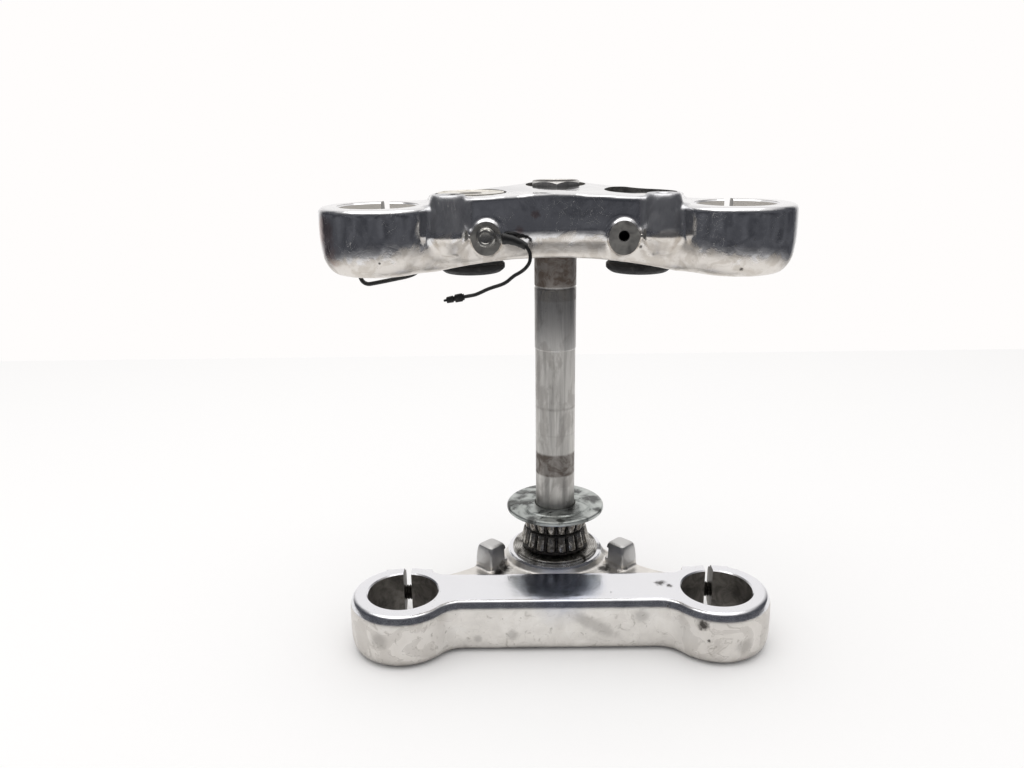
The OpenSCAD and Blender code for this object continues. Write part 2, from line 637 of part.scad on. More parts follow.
// Rubber bush with a top flange, held in the yoke and round its steel sleeve
module riser_bush(side) {
    foot = upper_z - bush_hang;
    color(rubber) rotate([0, 0, upper_yaw]) translate([side * bush_c[0], bush_c[1], 0])
        rotate_extrude($fn = 96) polygon([[sleeve_r, foot + 1], [bush_r - 3, foot],
            [bush_r - 1, foot + 0.8], [bush_r, foot + 2.6], [bush_r, flange_z],
            [bush_flange_r, flange_z], [bush_flange_r, flange_z + bush_flange_h - 0.8],
            [bush_flange_r - 0.8, flange_z + bush_flange_h], [sleeve_r, flange_z + bush_flange_h]]);
}

module bush_sleeve(side) {
    color(steel) rotate([0, 0, upper_yaw]) translate([side * bush_c[0], bush_c[1], 0])
        rotate_extrude($fn = 64) polygon([[sleeve_hole_r, sleeve_foot], [sleeve_r, sleeve_foot],
            [sleeve_r, flange_z + bush_flange_h], [sleeve_hole_r, flange_z + bush_flange_h]]);
}
sleeve_foot = upper_z - bush_hang + 1;

module riser_bush_left() riser_bush(-1);
module riser_bush_right() riser_bush(1);
module bush_sleeve_left() bush_sleeve(-1);
module bush_sleeve_right() bush_sleeve(1);

// Shallow pressed cup that lies on the left bush
module cup_washer_left() {
    z = flange_z + bush_flange_h;
    color("#d9d6d0") rotate([0, 0, upper_yaw]) translate([-bush_c[0], bush_c[1], z])
        rotate_extrude($fn = 96) polygon([[sleeve_hole_r, 0], [cup_r - 1.2, 0], [cup_r, 0.8],
            [cup_r, cup_t + 0.5], [cup_r - 1, cup_t + 0.5], [cup_r - 1.8, cup_t], [sleeve_hole_r, cup_t]]);
}

// Left front boss face, looking out along the hole axis
module on_left_face(out) rotate([0, 0, upper_yaw])
    translate([-face_x, face_y - out, face_z]) rotate([90, 0, 0]) children();

module ground_bolt() {
    color(dark_steel) on_left_face(terminal_t) {
        cylinder(r = ground_flange_r, h = 1.2, $fn = 48);
        translate([0, 0, 1.2]) cylinder(r = ground_af / 2 / cos(30), h = 3.6, $fn = 6);
        translate([0, 0, -terminal_t - 10])
            cylinder(r = face_hole_r - 0.1, h = terminal_t + 10.1, $fn = 32);
    }
}

module ring_terminal() {
    color(zinc) on_left_face(0) difference() {
        linear_extrude(terminal_t) {
            circle(r = terminal_r, $fn = 48);
            rotate(terminal_lift) translate([0, -2.2]) square([tongue_len, 4.4]);
        }
        translate([0, 0, -1]) cylinder(r = face_hole_r + 0.2, h = terminal_t + 2, $fn = 32);
    }
}
tongue_len = 8.6;

// Route of the shrink sleeve and of the lead that hangs out of it, from the middle of the left face
face_z = upper_z + face_h;
shrink_route = [[4.9, 0.9, -0.9], [7.2, 0.5, -1.1], [9.7, -0.2, -1.6], [12.2, -1, -2.4], [14.6, -1.8, -3.5],
    [16.8, -2.5, -4.9]];
lead_route = [[16.8, -2.5, -4.9], [17.04, -2.576, -5.053], [18, -2.8, -6.5], [18.7, -3, -8.6],
    [18.7, -3.1, -11], [18.1, -3.1, -13.1], [16.8, -3.1, -15], [15.1, -3.1, -16.6], [13, -3.1, -18],
    [10.8, -3.1, -19.2], [8.9, -3.1, -20.6], [7, -3.1, -22.2], [4.8, -3.1, -23.5], [2, -3.1, -24.5],
    [-1, -3.1, -25.4], [-4, -3.1, -26.5], [-6.8, -3.1, -27.8], [-9.8, -3.1, -29], [-13, -3.1, -29.6],
    [-15.8, -3.1, -30.1]];
shrink_path = [for (p = shrink_route) p + [-face_x, face_y, face_z]];
lead_path = [for (p = lead_route) p + [-face_x, face_y, face_z]];

module shrink_sleeve() {
    n = len(shrink_path) - 1;
    loops = [for (i = [0:n])
        let (d = shrink_path[min(i + 1, n)] - shrink_path[max(i - 1, 0)], t = d / norm(d),
             u0 = cross([0, 1, 0], t), u = u0 / norm(u0), v = cross(t, u),
             r = (shrink_big_d + (shrink_small_d - shrink_big_d) * i / n) / 2)
        [for (k = [0:11]) shrink_path[i] + r * (cos(30 * k) * u + sin(30 * k) * v * 0.8)]];
    color(black) loft(loops);
}

module ground_lead() color(black) tube_along(lead_path, lead_d / 2, 8);

// Small push-on connector at the free end of the lead
module lead_connector() {
    tip = lead_path[len(lead_path) - 1];
    color(black) translate(tip) rotate([0, 260, 0]) {
        linear_extrude(3) square([3.6, 3.4], center = true);
        translate([0, 0, 3]) linear_extrude(5) square([4.8, 4.2], center = true);
        translate([0, 0, 8]) linear_extrude(2.6) square([2.6, 1.2], center = true);
    }
}

// Bent wire guide under the left ring, both ends up in holes in the casting
guide_y = -fork_offset + 20.4;
guide_half = 17;
guide_end_z = upper_z + 8;
guide_left = -fork_c[0] - guide_half;
guide_right = -fork_c[0] + guide_half;
guide_bends = [[guide_left, -1], [guide_left + 0.6, -4.7], [guide_left + 2, -7.7],
    [guide_left + 4.7, -9.1], [guide_left + 8.3, -8.7], [guide_left + 14.7, -7.5],
    [guide_left + 21.7, -6.1], [guide_left + 27.6, -4.8], [guide_right - 2, -3],
    [guide_right - 0.3, -0.2], [guide_right, 2]];
guide_path = concat([[guide_left, guide_y, guide_end_z]],
    [for (b = guide_bends) [b[0], guide_y, upper_z + b[1]]], [[guide_right, guide_y, guide_end_z]]);

module wire_guide() color(black) rotate([0, 0, upper_yaw]) tube_along(guide_path, guide_d / 2, 8);

lower_yoke();
steering_stem();
lower_dust_ring();
lower_bearing_cone();
lower_bearing_cage();
lower_bearing_rollers();
upper_bearing_cone();
upper_bearing_cage();
upper_bearing_rollers();
upper_dust_shield();
upper_yoke();
stem_nut();
lower_pinch_bolts();
upper_pinch_bolts();
riser_bush_left();
riser_bush_right();
bush_sleeve_left();
bush_sleeve_right();
cup_washer_left();
ground_bolt();
ring_terminal();
shrink_sleeve();
ground_lead();
lead_connector();
wire_guide();
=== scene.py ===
from math import asin, atan2, cos, hypot, pi, radians, sin, sqrt

import bmesh
import bpy
from mathutils import Matrix, Vector


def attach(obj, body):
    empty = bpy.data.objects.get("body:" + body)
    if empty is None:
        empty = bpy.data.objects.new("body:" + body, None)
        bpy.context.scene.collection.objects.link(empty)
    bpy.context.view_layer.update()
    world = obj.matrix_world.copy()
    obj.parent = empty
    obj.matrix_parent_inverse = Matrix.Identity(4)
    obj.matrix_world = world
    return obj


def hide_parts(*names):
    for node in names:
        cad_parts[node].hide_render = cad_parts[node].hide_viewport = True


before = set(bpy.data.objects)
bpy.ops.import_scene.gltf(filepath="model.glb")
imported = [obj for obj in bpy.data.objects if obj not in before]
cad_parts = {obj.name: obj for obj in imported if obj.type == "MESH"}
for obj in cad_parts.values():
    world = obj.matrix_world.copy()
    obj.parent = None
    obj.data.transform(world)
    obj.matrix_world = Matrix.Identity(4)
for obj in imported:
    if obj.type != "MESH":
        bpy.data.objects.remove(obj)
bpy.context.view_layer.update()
scene = bpy.context.scene
MM = 0.001

# The photo: taken from a little above on the left, the clamp on a white table in soft daylight.
# The room behind the camera is dark, and the polished upper yoke mirrors it.
lens_place = (-0.02404, -0.52214, 0.29943)
lens_pitch, lens_yaw, lens_roll = radians(16.669), radians(0.335), radians(-0.771)
ahead = Vector((-sin(lens_yaw) * cos(lens_pitch), cos(lens_yaw) * cos(lens_pitch), -sin(lens_pitch)))
level = Vector((cos(lens_yaw), sin(lens_yaw), 0))
above = level.cross(ahead)
across = cos(lens_roll) * level + sin(lens_roll) * above
upright = cos(lens_roll) * above - sin(lens_roll) * level
lens = bpy.data.cameras.new("photo camera")
lens.lens = 30.56
lens.sensor_width = 36
lens.clip_start = 0.01


def placed(name, data):
    """A new object in the scene."""
    made = bpy.data.objects.new(name, data)
    scene.collection.objects.link(made)
    return made


camera = placed("photo camera", lens)
camera.matrix_world = Matrix.Translation(lens_place) @ Matrix((across, upright, -ahead)).transposed().to_4x4()
scene.camera = camera
scene.view_settings.view_transform = "Standard"


def linear(code):
    """A hex sRGB colour as linear light, opaque."""
    parts = [int(code[i:i + 2], 16) / 255 for i in (1, 3, 5)]
    return tuple(c / 12.92 if c <= 0.04045 else ((c + 0.055) / 1.055) ** 2.4 for c in parts) + (1,)


def fill_in(tree, socket, value):
    """Sets an input to a value, or links a socket or a node's first output to it."""
    if isinstance(value, bpy.types.Node):
        value = value.outputs[0]
    if isinstance(value, bpy.types.NodeSocket):
        tree.links.new(value, socket)
    else:
        socket.default_value = value


def add(tree, kind, inputs=None, **settings):
    """A node with its settings and its inputs; kind is short for the shader nodes."""
    made = tree.nodes.new(kind if "Node" in kind else "ShaderNode" + kind)
    for key, value in settings.items():
        setattr(made, key, value)
    for key, value in (inputs or {}).items():
        fill_in(tree, made.inputs[key], value)
    return made


def blank(owner):
    """The emptied node tree of a material or world."""
    owner.use_nodes = True
    owner.node_tree.nodes.clear()
    return owner.node_tree


def cloud(at, size, detail=3.0, rough=0.55, warp=0.0):
    """Noise with lumps about size millimetres wide."""
    return add(at.id_data, "TexNoise", {"Vector": at, "Scale": 1.0 / size, "Detail": detail, "Roughness": rough,
                                        "Distortion": warp}).outputs[0]


def shades(value, *stops):
    """A colour ramp from (place, hex colour) stops."""
    ramp = add(value.id_data, "ValToRGB", {"Fac": value})
    line = ramp.color_ramp.elements
    while len(line) < len(stops):
        line.new(0.5)
    for mark, (place, colour) in zip(line, stops):
        mark.position, mark.color = place, linear(colour)
    return ramp.outputs[0]


def maths(operation, a, b=0.0, c=0.0):
    """One step of arithmetic on a socket and sockets or numbers."""
    return add(a.id_data, "Math", {0: a, 1: b, 2: c}, operation=operation).outputs[0]


def times(a, b):
    """The product of a socket and a socket or number."""
    return maths("MULTIPLY", a, b)


def coat(amount, under, over):
    """The colour over laid on the colour under by amount."""
    made = add(amount.id_data, "Mix", {0: amount}, data_type="RGBA")
    for index, colour in ((6, under), (7, over)):
        fill_in(amount.id_data, made.inputs[index], linear(colour) if isinstance(colour, str) else colour)
    return made.outputs[2]


def seen_or_mirrored(tree):
    """1 for rays of the camera and of mirror images, 0 for the rays that light the pieces."""
    ray = add(tree, "LightPath").outputs
    return add(tree, "Math", {0: ray["Is Camera Ray"], 1: ray["Is Glossy Ray"]}, operation="MAXIMUM")


room = bpy.data.worlds.new("white room")
tree = blank(room)
fill = add(tree, "MapRange", {"Value": seen_or_mirrored(tree), "To Min": 0.78, "To Max": 1.0})
add(tree, "OutputWorld", {"Surface": add(tree, "Background", {"Color": linear("#fffdfc"), "Strength": fill})})
scene.world = room

softbox = bpy.data.lights.new("window light", "AREA")
softbox.shape = "RECTANGLE"
softbox.size, softbox.size_y = 1.7, 1.2
softbox.energy = 8.0
softbox.color = (1, 0.99, 0.98)
placed("window light", softbox).location = (-0.15, -0.1, 1.5)

# The table: a flat matt white sheet. The camera and the metal see some white of its own, which fades
# where the yoke hides the sky, so that the yoke keeps its contact shadow.
table_half, table_front, table_back, glow = 8.0, -8.0, 0.614, 0.34
sheet = bpy.data.meshes.new("white table")
sheet.from_pydata([(-table_half, table_front, 0), (table_half, table_front, 0), (table_half, table_back, 0),
                   (-table_half, table_back, 0)], [], [range(4)])
matt = bpy.data.materials.new("white table")
tree = blank(matt)
open_sky = add(tree, "AmbientOcclusion", {"Distance": 0.05}, samples=6).outputs["AO"]
shown = times(seen_or_mirrored(tree).outputs[0], maths("POWER", open_sky, 2.0))
mixed = add(tree, "MixShader", {0: times(shown, glow), 1: add(tree, "BsdfDiffuse", {"Color": linear("#fcfcfc")}),
                                2: add(tree, "Emission", {"Color": linear("#ffffff"), "Strength": 1.0})})
add(tree, "OutputMaterial", {"Surface": mixed})
sheet.materials.append(matt)
placed("white table", sheet)

# The dark side of the room, which only the metal mirrors: a curved sheet round the front of the
# table that fades to white at its ends, at its top and where it lies on the table.
room_rows = [(0.42, 0.003, 0), (0.52, 0.003, 0.35), (0.66, 0.003, 0.85), (0.9, 0.003, 1), (1.5, 0.003, 1),
             (1.7, 0.1, 1), (1.75, 0.5, 1), (1.72, 0.9, 1), (1.62, 1.3, 0.95), (1.45, 1.6, 0.6), (1.3, 1.8, 0.2),
             (1.2, 1.9, 0)]
room_steps, room_half, room_fade = 90, radians(146), radians(26)
corners, darkness = [], []
for reach, rise, dark in room_rows:
    for k in range(room_steps + 1):
        a = room_half * (2 * k / room_steps - 1)
        corners.append((reach * sin(a), -reach * cos(a), rise))
        darkness.append(dark * min(1, (room_half - abs(a)) / room_fade))
row = room_steps + 1
curved = bpy.data.meshes.new("dark room")
curved.from_pydata(corners, [], [(j + k, j + k + 1, j + row + k + 1, j + row + k)
                                 for j in range(0, row * (len(room_rows) - 1), row) for k in range(room_steps)])
curved.attributes.new("dark", "FLOAT", "POINT").data.foreach_set("value", darkness)
wallpaper = bpy.data.materials.new("dark room")
tree = blank(wallpaper)
lumps = cloud(add(tree, "TexCoord").outputs["Object"], 1 / 2.4, 3.0, 0.5)
fade = coat(add(tree, "Attribute", attribute_name="dark").outputs["Fac"], "#fffdfc",
            shades(lumps, (0.36, "#3d3e43"), (0.64, "#5f6065")))
add(tree, "OutputMaterial", {"Surface": add(tree, "Emission", {"Color": fade, "Strength": 1.0})})
curved.materials.append(wallpaper)
dark_room = placed("dark room", curved)
dark_room.visible_camera = dark_room.visible_diffuse = dark_room.visible_shadow = False

# The ground lead: a thin black insulated wire that hangs from a ring terminal on the upper yoke.
# It curls back under the casting and ends in a small push-on connector, as bought.
yoke_turn = radians(-2.8)


def on_upper(x, y, z):
    """A point of the upper yoke, which sits a little turned on the stem."""
    return (x * cos(yoke_turn) - y * sin(yoke_turn), x * sin(yoke_turn) + y * cos(yoke_turn), z)


def piece(name, points, faces, turn=False):
    """A mesh object in millimetres, optionally turned with the upper yoke."""
    shape = bpy.data.meshes.new(name)
    shape.from_pydata([on_upper(*p) if turn else p for p in points], [], faces)
    shape.validate()
    return placed(name, shape)


def settle(made):
    """The piece with its modifiers turned into a plain mesh."""
    bpy.context.view_layer.update()
    done = bpy.data.meshes.new_from_object(made.evaluated_get(bpy.context.evaluated_depsgraph_get()))
    made.modifiers.clear()
    made.data = done
    return made


def put(made, finishes, nodes=None, body="yokes", crease=32, crisp=0):
    """Scales a piece from millimetres, gives it its finish and shading, and sets it on its body.
    It stands for the node of its own name, or for the nodes given."""
    made.data.transform(Matrix.Scale(MM, 4))
    indices = [face.material_index for face in made.data.polygons]
    made.data.materials.clear()
    for one in finishes if isinstance(finishes, tuple) else [finishes]:
        made.data.materials.append(one)
    made.data.polygons.foreach_set("material_index", indices)
    if crisp:
        edge = made.modifiers.new("worn edges", "BEVEL")
        edge.width, edge.segments, edge.limit_method = crisp * MM, 2, "ANGLE"
        edge.angle_limit = radians(crease)
        settle(made)
    made.data.shade_smooth()
    made.data.set_sharp_from_angle(angle=radians(crease))
    made.data.update()
    made.name = made.name.replace(" ", "_")
    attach(made, body)
    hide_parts(*(nodes or [made.name.split(".")[0]]))
    return made


def finish(name):
    """A new material: itself, its shader, and the point on the piece in millimetres."""
    made = bpy.data.materials.new(name)
    tree = blank(made)
    shader = add(tree, "BsdfPrincipled")
    add(tree, "OutputMaterial", {"Surface": shader})
    return made, shader, vector("SCALE", add(tree, "TexCoord").outputs["Object"], scale=1 / MM)


def feed(shader, **inputs):
    """Sets or links inputs of the shader, with underscores for spaces."""
    for key, value in inputs.items():
        fill_in(shader.id_data, shader.inputs[key.replace("_", " ")], value)


def vector(operation, at, by=(0, 0, 0), scale=1.0):
    """One step of vector arithmetic on a point."""
    step = add(at.id_data, "VectorMath", {0: at, 1: by, 3: scale}, operation=operation)
    return step.outputs["Value" if operation in ("DISTANCE", "LENGTH") else 0]


def stretched(at, *by):
    """The point with its coordinates multiplied, which draws a pattern out along the small ones."""
    return vector("MULTIPLY", at, by)


def axes(at):
    """The three coordinates of a point."""
    return add(at.id_data, "SeparateXYZ", {0: at}).outputs


def between(value, low, high, start=0.0, end=1.0):
    """value from low to high, eased into start to end."""
    return add(value.id_data, "MapRange", {"Value": value, "From Min": low, "From Max": high, "To Min": start,
                                           "To Max": end}, interpolation_type="SMOOTHSTEP").outputs[0]


def plus(a, by, c):
    """c with a added to it by times."""
    return maths("MULTIPLY_ADD", a, by, c)


def bumps(*layers):
    """Bump from (height, millimetres) layers, one on the other."""
    normal = None
    for height, depth in layers:
        step = add(height.id_data, "Bump", {"Height": height, "Distance": depth * MM})
        if normal:
            height.id_data.links.new(normal, step.inputs["Normal"])
        normal = step.outputs[0]
    return normal


def stained_finish(name, lumps, gloss, stops, metallic, depth=0.0, grain=None):
    """A finish whose colour and gloss follow one cloud of stains, over a fine (size, millimetres) grain."""
    made, shader, at = finish(name)
    film = cloud(at, *lumps)
    layers = ([(cloud(at, grain[0]), grain[1])] if grain else []) + ([(film, depth)] if depth else [])
    feed(shader, Metallic=between(film, *metallic) if isinstance(metallic, tuple) else metallic,
         Roughness=between(film, *gloss), Base_Color=shades(film, *stops), Normal=bumps(*layers))
    return made


def smooth_path(marks, steps):
    """Points along a smooth curve through marks."""
    line = [Vector(m) for m in marks]
    line = [2 * line[0] - line[1]] + line + [2 * line[-1] - line[-2]]
    points = []
    for i in range(1, len(line) - 2):
        a, b, c, d = line[i - 1:i + 3]
        for k in range(steps):
            t = k / steps
            points.append(0.5 * (2 * b + (c - a) * t + (2 * a - 5 * b + 4 * c - d) * t ** 2
                                 + (3 * b - a - 3 * c + d) * t ** 3))
    return points + [line[-2]]


def closed(n, loops):
    """Faces between stacked loops of n points, and one over either end."""
    return [(j * n + i, j * n + (i + 1) % n, (j + 1) * n + (i + 1) % n, (j + 1) * n + i)
            for j in range(loops - 1) for i in range(n)] + [
        tuple(range(n))[::-1], tuple((loops - 1) * n + i for i in range(n))]


def tube(name, path, radius, sides, flat=1.0):
    """A closed tube along a path in millimetres; radius is a number or a function of 0 to 1."""
    points = []
    side = Vector((0, 1, 0))
    last = len(path) - 1
    for i, p in enumerate(path):
        run = (path[min(i + 1, last)] - path[max(i - 1, 0)]).normalized()
        side = (side - run * side.dot(run)).normalized()
        out = side.cross(run)
        r = radius(i / last) if callable(radius) else radius
        points += [p + r * (cos(2 * pi * k / sides) * out + flat * sin(2 * pi * k / sides) * side)
                   for k in range(sides)]
    return piece(name, points, closed(sides, len(path)))


insulation, shader, at = finish("black PVC insulation")
dust = between(cloud(at, 3), 0.5, 0.75)
feed(shader, Base_Color=coat(dust, "#131314", "#2b2a28"), Roughness=between(dust, 0, 1, 0.42, 0.6),
     Normal=bumps((cloud(at, 0.9), 0.03)))

lead_marks = [(-18.4, -77.9, 239.1), (-18.16, -77.976, 238.947), (-17.2, -78.2, 237.5), (-16.5, -78.4, 235.4)] + [
    (x, -78.5, z) for x, z in (
        (-16.5, 233), (-17.1, 230.9), (-18.4, 229), (-20.1, 227.4), (-22.2, 226), (-24.4, 224.8), (-26.3, 223.4),
        (-28.2, 221.8), (-30.4, 220.5), (-33.2, 219.5), (-36.2, 218.6), (-39.2, 217.5), (-42, 216.2), (-45, 215),
        (-48.2, 214.4), (-51, 213.9))]
lead_line = smooth_path(lead_marks, 4)
lead = put(tube("ground lead", lead_line, 0.95, 14), insulation)

# The push-on connector on the lead's free end: a moulded black housing with a latch and a blade.
tip = Vector(lead_marks[-1])
toward = Vector((sin(radians(260)), 0, cos(radians(260))))


def block(size, start, length, grip=1.0):
    """Corners and faces of a tapered block along the connector, from start millimetres after its tip."""
    across_it, up_it = Vector((0, 1, 0)), toward.cross(Vector((0, 1, 0)))
    corners = []
    for far in (0, 1):
        scale = grip if far else 1
        corners += [tip + toward * (start + far * length) + across_it * size[1] / 2 * scale * a
                    + up_it * size[0] / 2 * scale * b for a, b in ((-1, -1), (1, -1), (1, 1), (-1, 1))]
    return corners, [(3, 2, 1, 0), (4, 5, 6, 7), (0, 1, 5, 4), (1, 2, 6, 5), (2, 3, 7, 6), (3, 0, 4, 7)]


def gathered(parts):
    """Several lots of (points, faces) as one."""
    points, faces = [], []
    for some, theirs in parts:
        faces += [[len(points) + k for k in face] for face in theirs]
        points += some
    return points, faces


plug = put(piece("push-on connector", *gathered([
    block((3.0, 2.8), -0.3, 1.2), block((3.9, 3.4), 0.7, 3.9, 0.96), block((2.3, 2.2), 4.4, 1.2),
    block((3.2, 3.2), 5.4, 3.6, 0.9), block((1.3, 1.6), 8.9, 1.7, 0.8)])),
    insulation, ["lead_connector"], crisp=0.25)

# The shrink sleeve: black tubing shrunk over the crimp and the first of the lead.
sleeve_line = smooth_path([(-30.3, -74.5, 243.1), (-28, -74.9, 242.9), (-25.5, -75.6, 242.4), (-23, -76.4, 241.6),
                           (-20.6, -77.2, 240.5), (-18.4, -77.9, 239.1)], 5)
put(tube("shrink sleeve", sleeve_line, lambda t: 2.95 - 1.15 * t + 0.12 * sin(19 * t) * (1 - t), 20, 0.8),
    insulation, crease=50)

# The lower yoke: one aluminium casting, tumbled satin, with its top polished by hand.
# The fork bores, the slits, the stem bore and the boss face are machined.
fork_at, fork_bore = (93.25, -62.0), 20.75
pinch_y, lower_pinch, upper_pinch = -35.6, 18.0, 241.0
lower_front, lower_ring, beam_deep, lower_high, deck_high = 76.0, 31.3, 36.5, 34.0, 26.0


def heading(p, q):
    """The direction from p to q."""
    return atan2(q[1] - p[1], q[0] - p[0])


def sweep(centre, radius, start, end, turn, steps):
    """Points on an arc between the directions of start and end, anticlockwise where turn is 1."""
    a, b = heading(centre, start), heading(centre, end)
    b += 2 * pi * ((turn > 0 and b <= a) - (turn < 0 and b >= a))
    return [(centre[0] + radius * cos(a + (b - a) * i / steps), centre[1] + radius * sin(a + (b - a) * i / steps))
            for i in range(steps + 1)]


def hollow_between(a, ra, b, rb, rf):
    """Centre of a hollow curve of radius rf that touches two rings at the rear."""
    d, p, q = hypot(b[0] - a[0], b[1] - a[1]), ra + rf, rb + rf
    t = (p * p - q * q + d * d) / (2 * d)
    h = sqrt(p * p - t * t)
    u = ((b[0] - a[0]) / d, (b[1] - a[1]) / d)
    return (a[0] + t * u[0] - h * u[1], a[1] + t * u[1] + h * u[0])


def hollow_on_wall(wall, side, centre, ring, rf):
    """Centre of a hollow curve of radius rf that touches a straight wall and a ring."""
    y = wall + side * rf
    return (centre[0] - sqrt((ring + rf) ** 2 - (y - centre[1]) ** 2), y)


def front_wall(front, ring, e):
    """The front wall and the hollow curve from it to the ring, inset by e."""
    f = hollow_on_wall(-front, -1, fork_at, ring, 15)
    return f, [(0, e - front)] + sweep(f, 15 + e, (f[0], f[1] + 1), fork_at, -1, 12)


def beam_plan(e):
    """The right half of the clamp rings and the raised beam, inset by e."""
    f, line = front_wall(lower_front, lower_ring, e)
    rear = beam_deep - lower_front
    g = hollow_on_wall(rear, 1, fork_at, lower_ring, 8)
    return (line + sweep(fork_at, lower_ring - e, f, g, 1, 72)[1:]
            + sweep(g, 8 + e, fork_at, (g[0], g[1] - 1), -1, 10)[1:] + [(0, rear - e)])


def deck_plan(e):
    """The right half of the deck from the beam back to the stem boss, inset by e."""
    q = hollow_between((0, 0), 33.6, fork_at, lower_ring - 3, 80)
    return ([(0, fork_at[1]), fork_at] + sweep(q, 80 + e, fork_at, (0, 0), -1, 40)
            + sweep((0, 0), 33.6 - e, q, (0, 1), 1, 24)[1:])


def cast_shell(name, plan, levels, lift=0, shape=None):
    """A closed shell through the plan at (height, inset) levels, with more levels eased in between."""
    fine = smooth_path([(e, z, 0) for z, e in levels], 4)
    loops = []
    for e, z, _ in fine:
        half = plan(e)
        loops.append([(x, y, z + lift) for x, y in half]
                     + [(-x, y, z + lift) for x, y in half[::-1] if x > 0.01])
    points = [shape(p) if shape else p for loop in loops for p in loop]
    return piece(name, points, closed(len(loops[0]), len(loops)))


def turned(name, profile, steps=96, at=(0, 0, 0), ease=0.0, turn=False, lie=None):
    """A piece turned on a lathe from a closed (radius, height) profile in millimetres, its corners eased."""
    line = []
    for i, p in enumerate(profile):
        before, after = Vector(profile[i - 1]), Vector(profile[(i + 1) % len(profile)])
        p = Vector(p)
        cut = min(ease, 0.4 * (p - before).length, 0.4 * (after - p).length) if p.x > 1e-6 else 0
        if cut > 0.01:
            a, b = p + (before - p).normalized() * cut, p + (after - p).normalized() * cut
            line += [a, 0.25 * a + 0.5 * p + 0.25 * b, b]
        else:
            line.append(p)
    points, rings = [], []
    for p in line:
        count = 1 if p.x < 1e-6 else steps
        rings.append((len(points), count))
        points += [(p.x * cos(2 * pi * k / steps), p.x * sin(2 * pi * k / steps), p.y) for k in range(count)]
    faces = []
    for i, (a, na) in enumerate(rings):
        b, nb = rings[(i + 1) % len(rings)]
        for k in range(steps):
            j = (k + 1) % steps
            if na > 1 and nb > 1:
                faces.append((a + k, a + j, b + j, b + k))
            elif na > 1:
                faces.append((a + k, a + j, b))
            elif nb > 1:
                faces.append((a, b + j, b + k))
    if lie:
        points = [lie @ Vector(p) for p in points]
    points = [(p[0] + at[0], p[1] + at[1], p[2] + at[2]) for p in points]
    made = piece(name, points, faces, turn)
    outward(made)
    return made


def peg(radius, low, high, steps, at=(0, 0, 0), turn=False, lie=None):
    """A plain round cutter."""
    return turned("peg", [(0, low), (radius, low), (radius, high), (0, high)], steps, at, turn=turn, lie=lie)


def outward(made):
    """Faces of a closed shell turned outwards."""
    shell = bmesh.new()
    shell.from_mesh(made.data)
    bmesh.ops.remove_doubles(shell, verts=shell.verts, dist=1e-4)
    bmesh.ops.recalc_face_normals(shell, faces=shell.faces)
    shell.to_mesh(made.data)
    shell.free()


def carve(made, tool, operation="DIFFERENCE"):
    """One cut into a piece, or one piece welded to it; the tool goes."""
    step = made.modifiers.new("cut", "BOOLEAN")
    step.operation, step.object, step.solver = operation, tool, "MANIFOLD"
    settle(made)
    bpy.data.objects.remove(tool)
    return made


def bar(name, low, high, turn=False):
    """A straight-sided cutter between two corners."""
    xs, ys, zs = zip(low, high)
    points = [(x, y, z) for z in zs for y in ys for x in xs]
    return piece(name, points, [(0, 2, 3, 1), (4, 5, 7, 6), (0, 1, 5, 4), (2, 6, 7, 3), (0, 4, 6, 2),
                                (1, 3, 7, 5)], turn)


def as_cast(made, grain, passes):
    """Melts the welded shells into one skin with soft inner corners, as they leave the mould."""
    skin = made.modifiers.new("skin", "REMESH")
    skin.mode, skin.voxel_size = "VOXEL", grain
    soft = made.modifiers.new("soft", "SMOOTH")
    soft.factor, soft.iterations = 0.5, passes
    return settle(made)


def drill(made, radius, low, high, at, rim=0.5, turn=False, axis="Z", steps=96):
    """A machined hole from low to high along an axis, its rims chamfered at high."""
    spin = {"Z": Matrix.Identity(3), "Y": Matrix.Rotation(radians(90), 3, "X"),
            "X": Matrix.Rotation(radians(90), 3, "Y")}[axis]
    return carve(made, turned("drill", [
        (0, low), (radius, low), (radius, high - rim), (radius + rim, high), (radius + rim, high + 30),
        (0, high + 30)], steps, at, turn=turn, lie=spin))


def machined_where(made, test):
    """Gives the second finish to the faces where test(centre, normal) holds."""
    for face in made.data.polygons:
        face.material_index = int(test(face.center, face.normal))


def off_axis(p, centre):
    """Distance in plan from a vertical axis, on either side of the middle."""
    return hypot(abs(p[0]) - centre[0], p[1] - centre[1])


def in_slit(p, n):
    """True on the side walls of a clamp slit."""
    return abs(n[0]) > 0.9 and p[1] > fork_at[1] and abs(abs(p[0]) - fork_at[0]) < 2.6


def lug_shape(side, bolt_z):
    """The lug behind a clamp ring round its pinch bolt, as a block with round rear corners."""
    half, reach, wide, corner = 13.0, 8.95, 30.0, 5.0
    outline = [(pinch_y - 6, bolt_z - half)] + [
        (pinch_y + reach - corner + corner * cos(t), bolt_z + s * (half - corner) + corner * sin(t))
        for s, start in ((-1, -90), (1, 0)) for t in [radians(start + 15 * k) for k in range(7)]]
    outline.append((pinch_y - 6, bolt_z + half))
    points = [(side * fork_at[0] + x, y, z) for x in (-wide / 2, wide / 2) for y, z in outline]
    return points, closed(len(outline), 2)


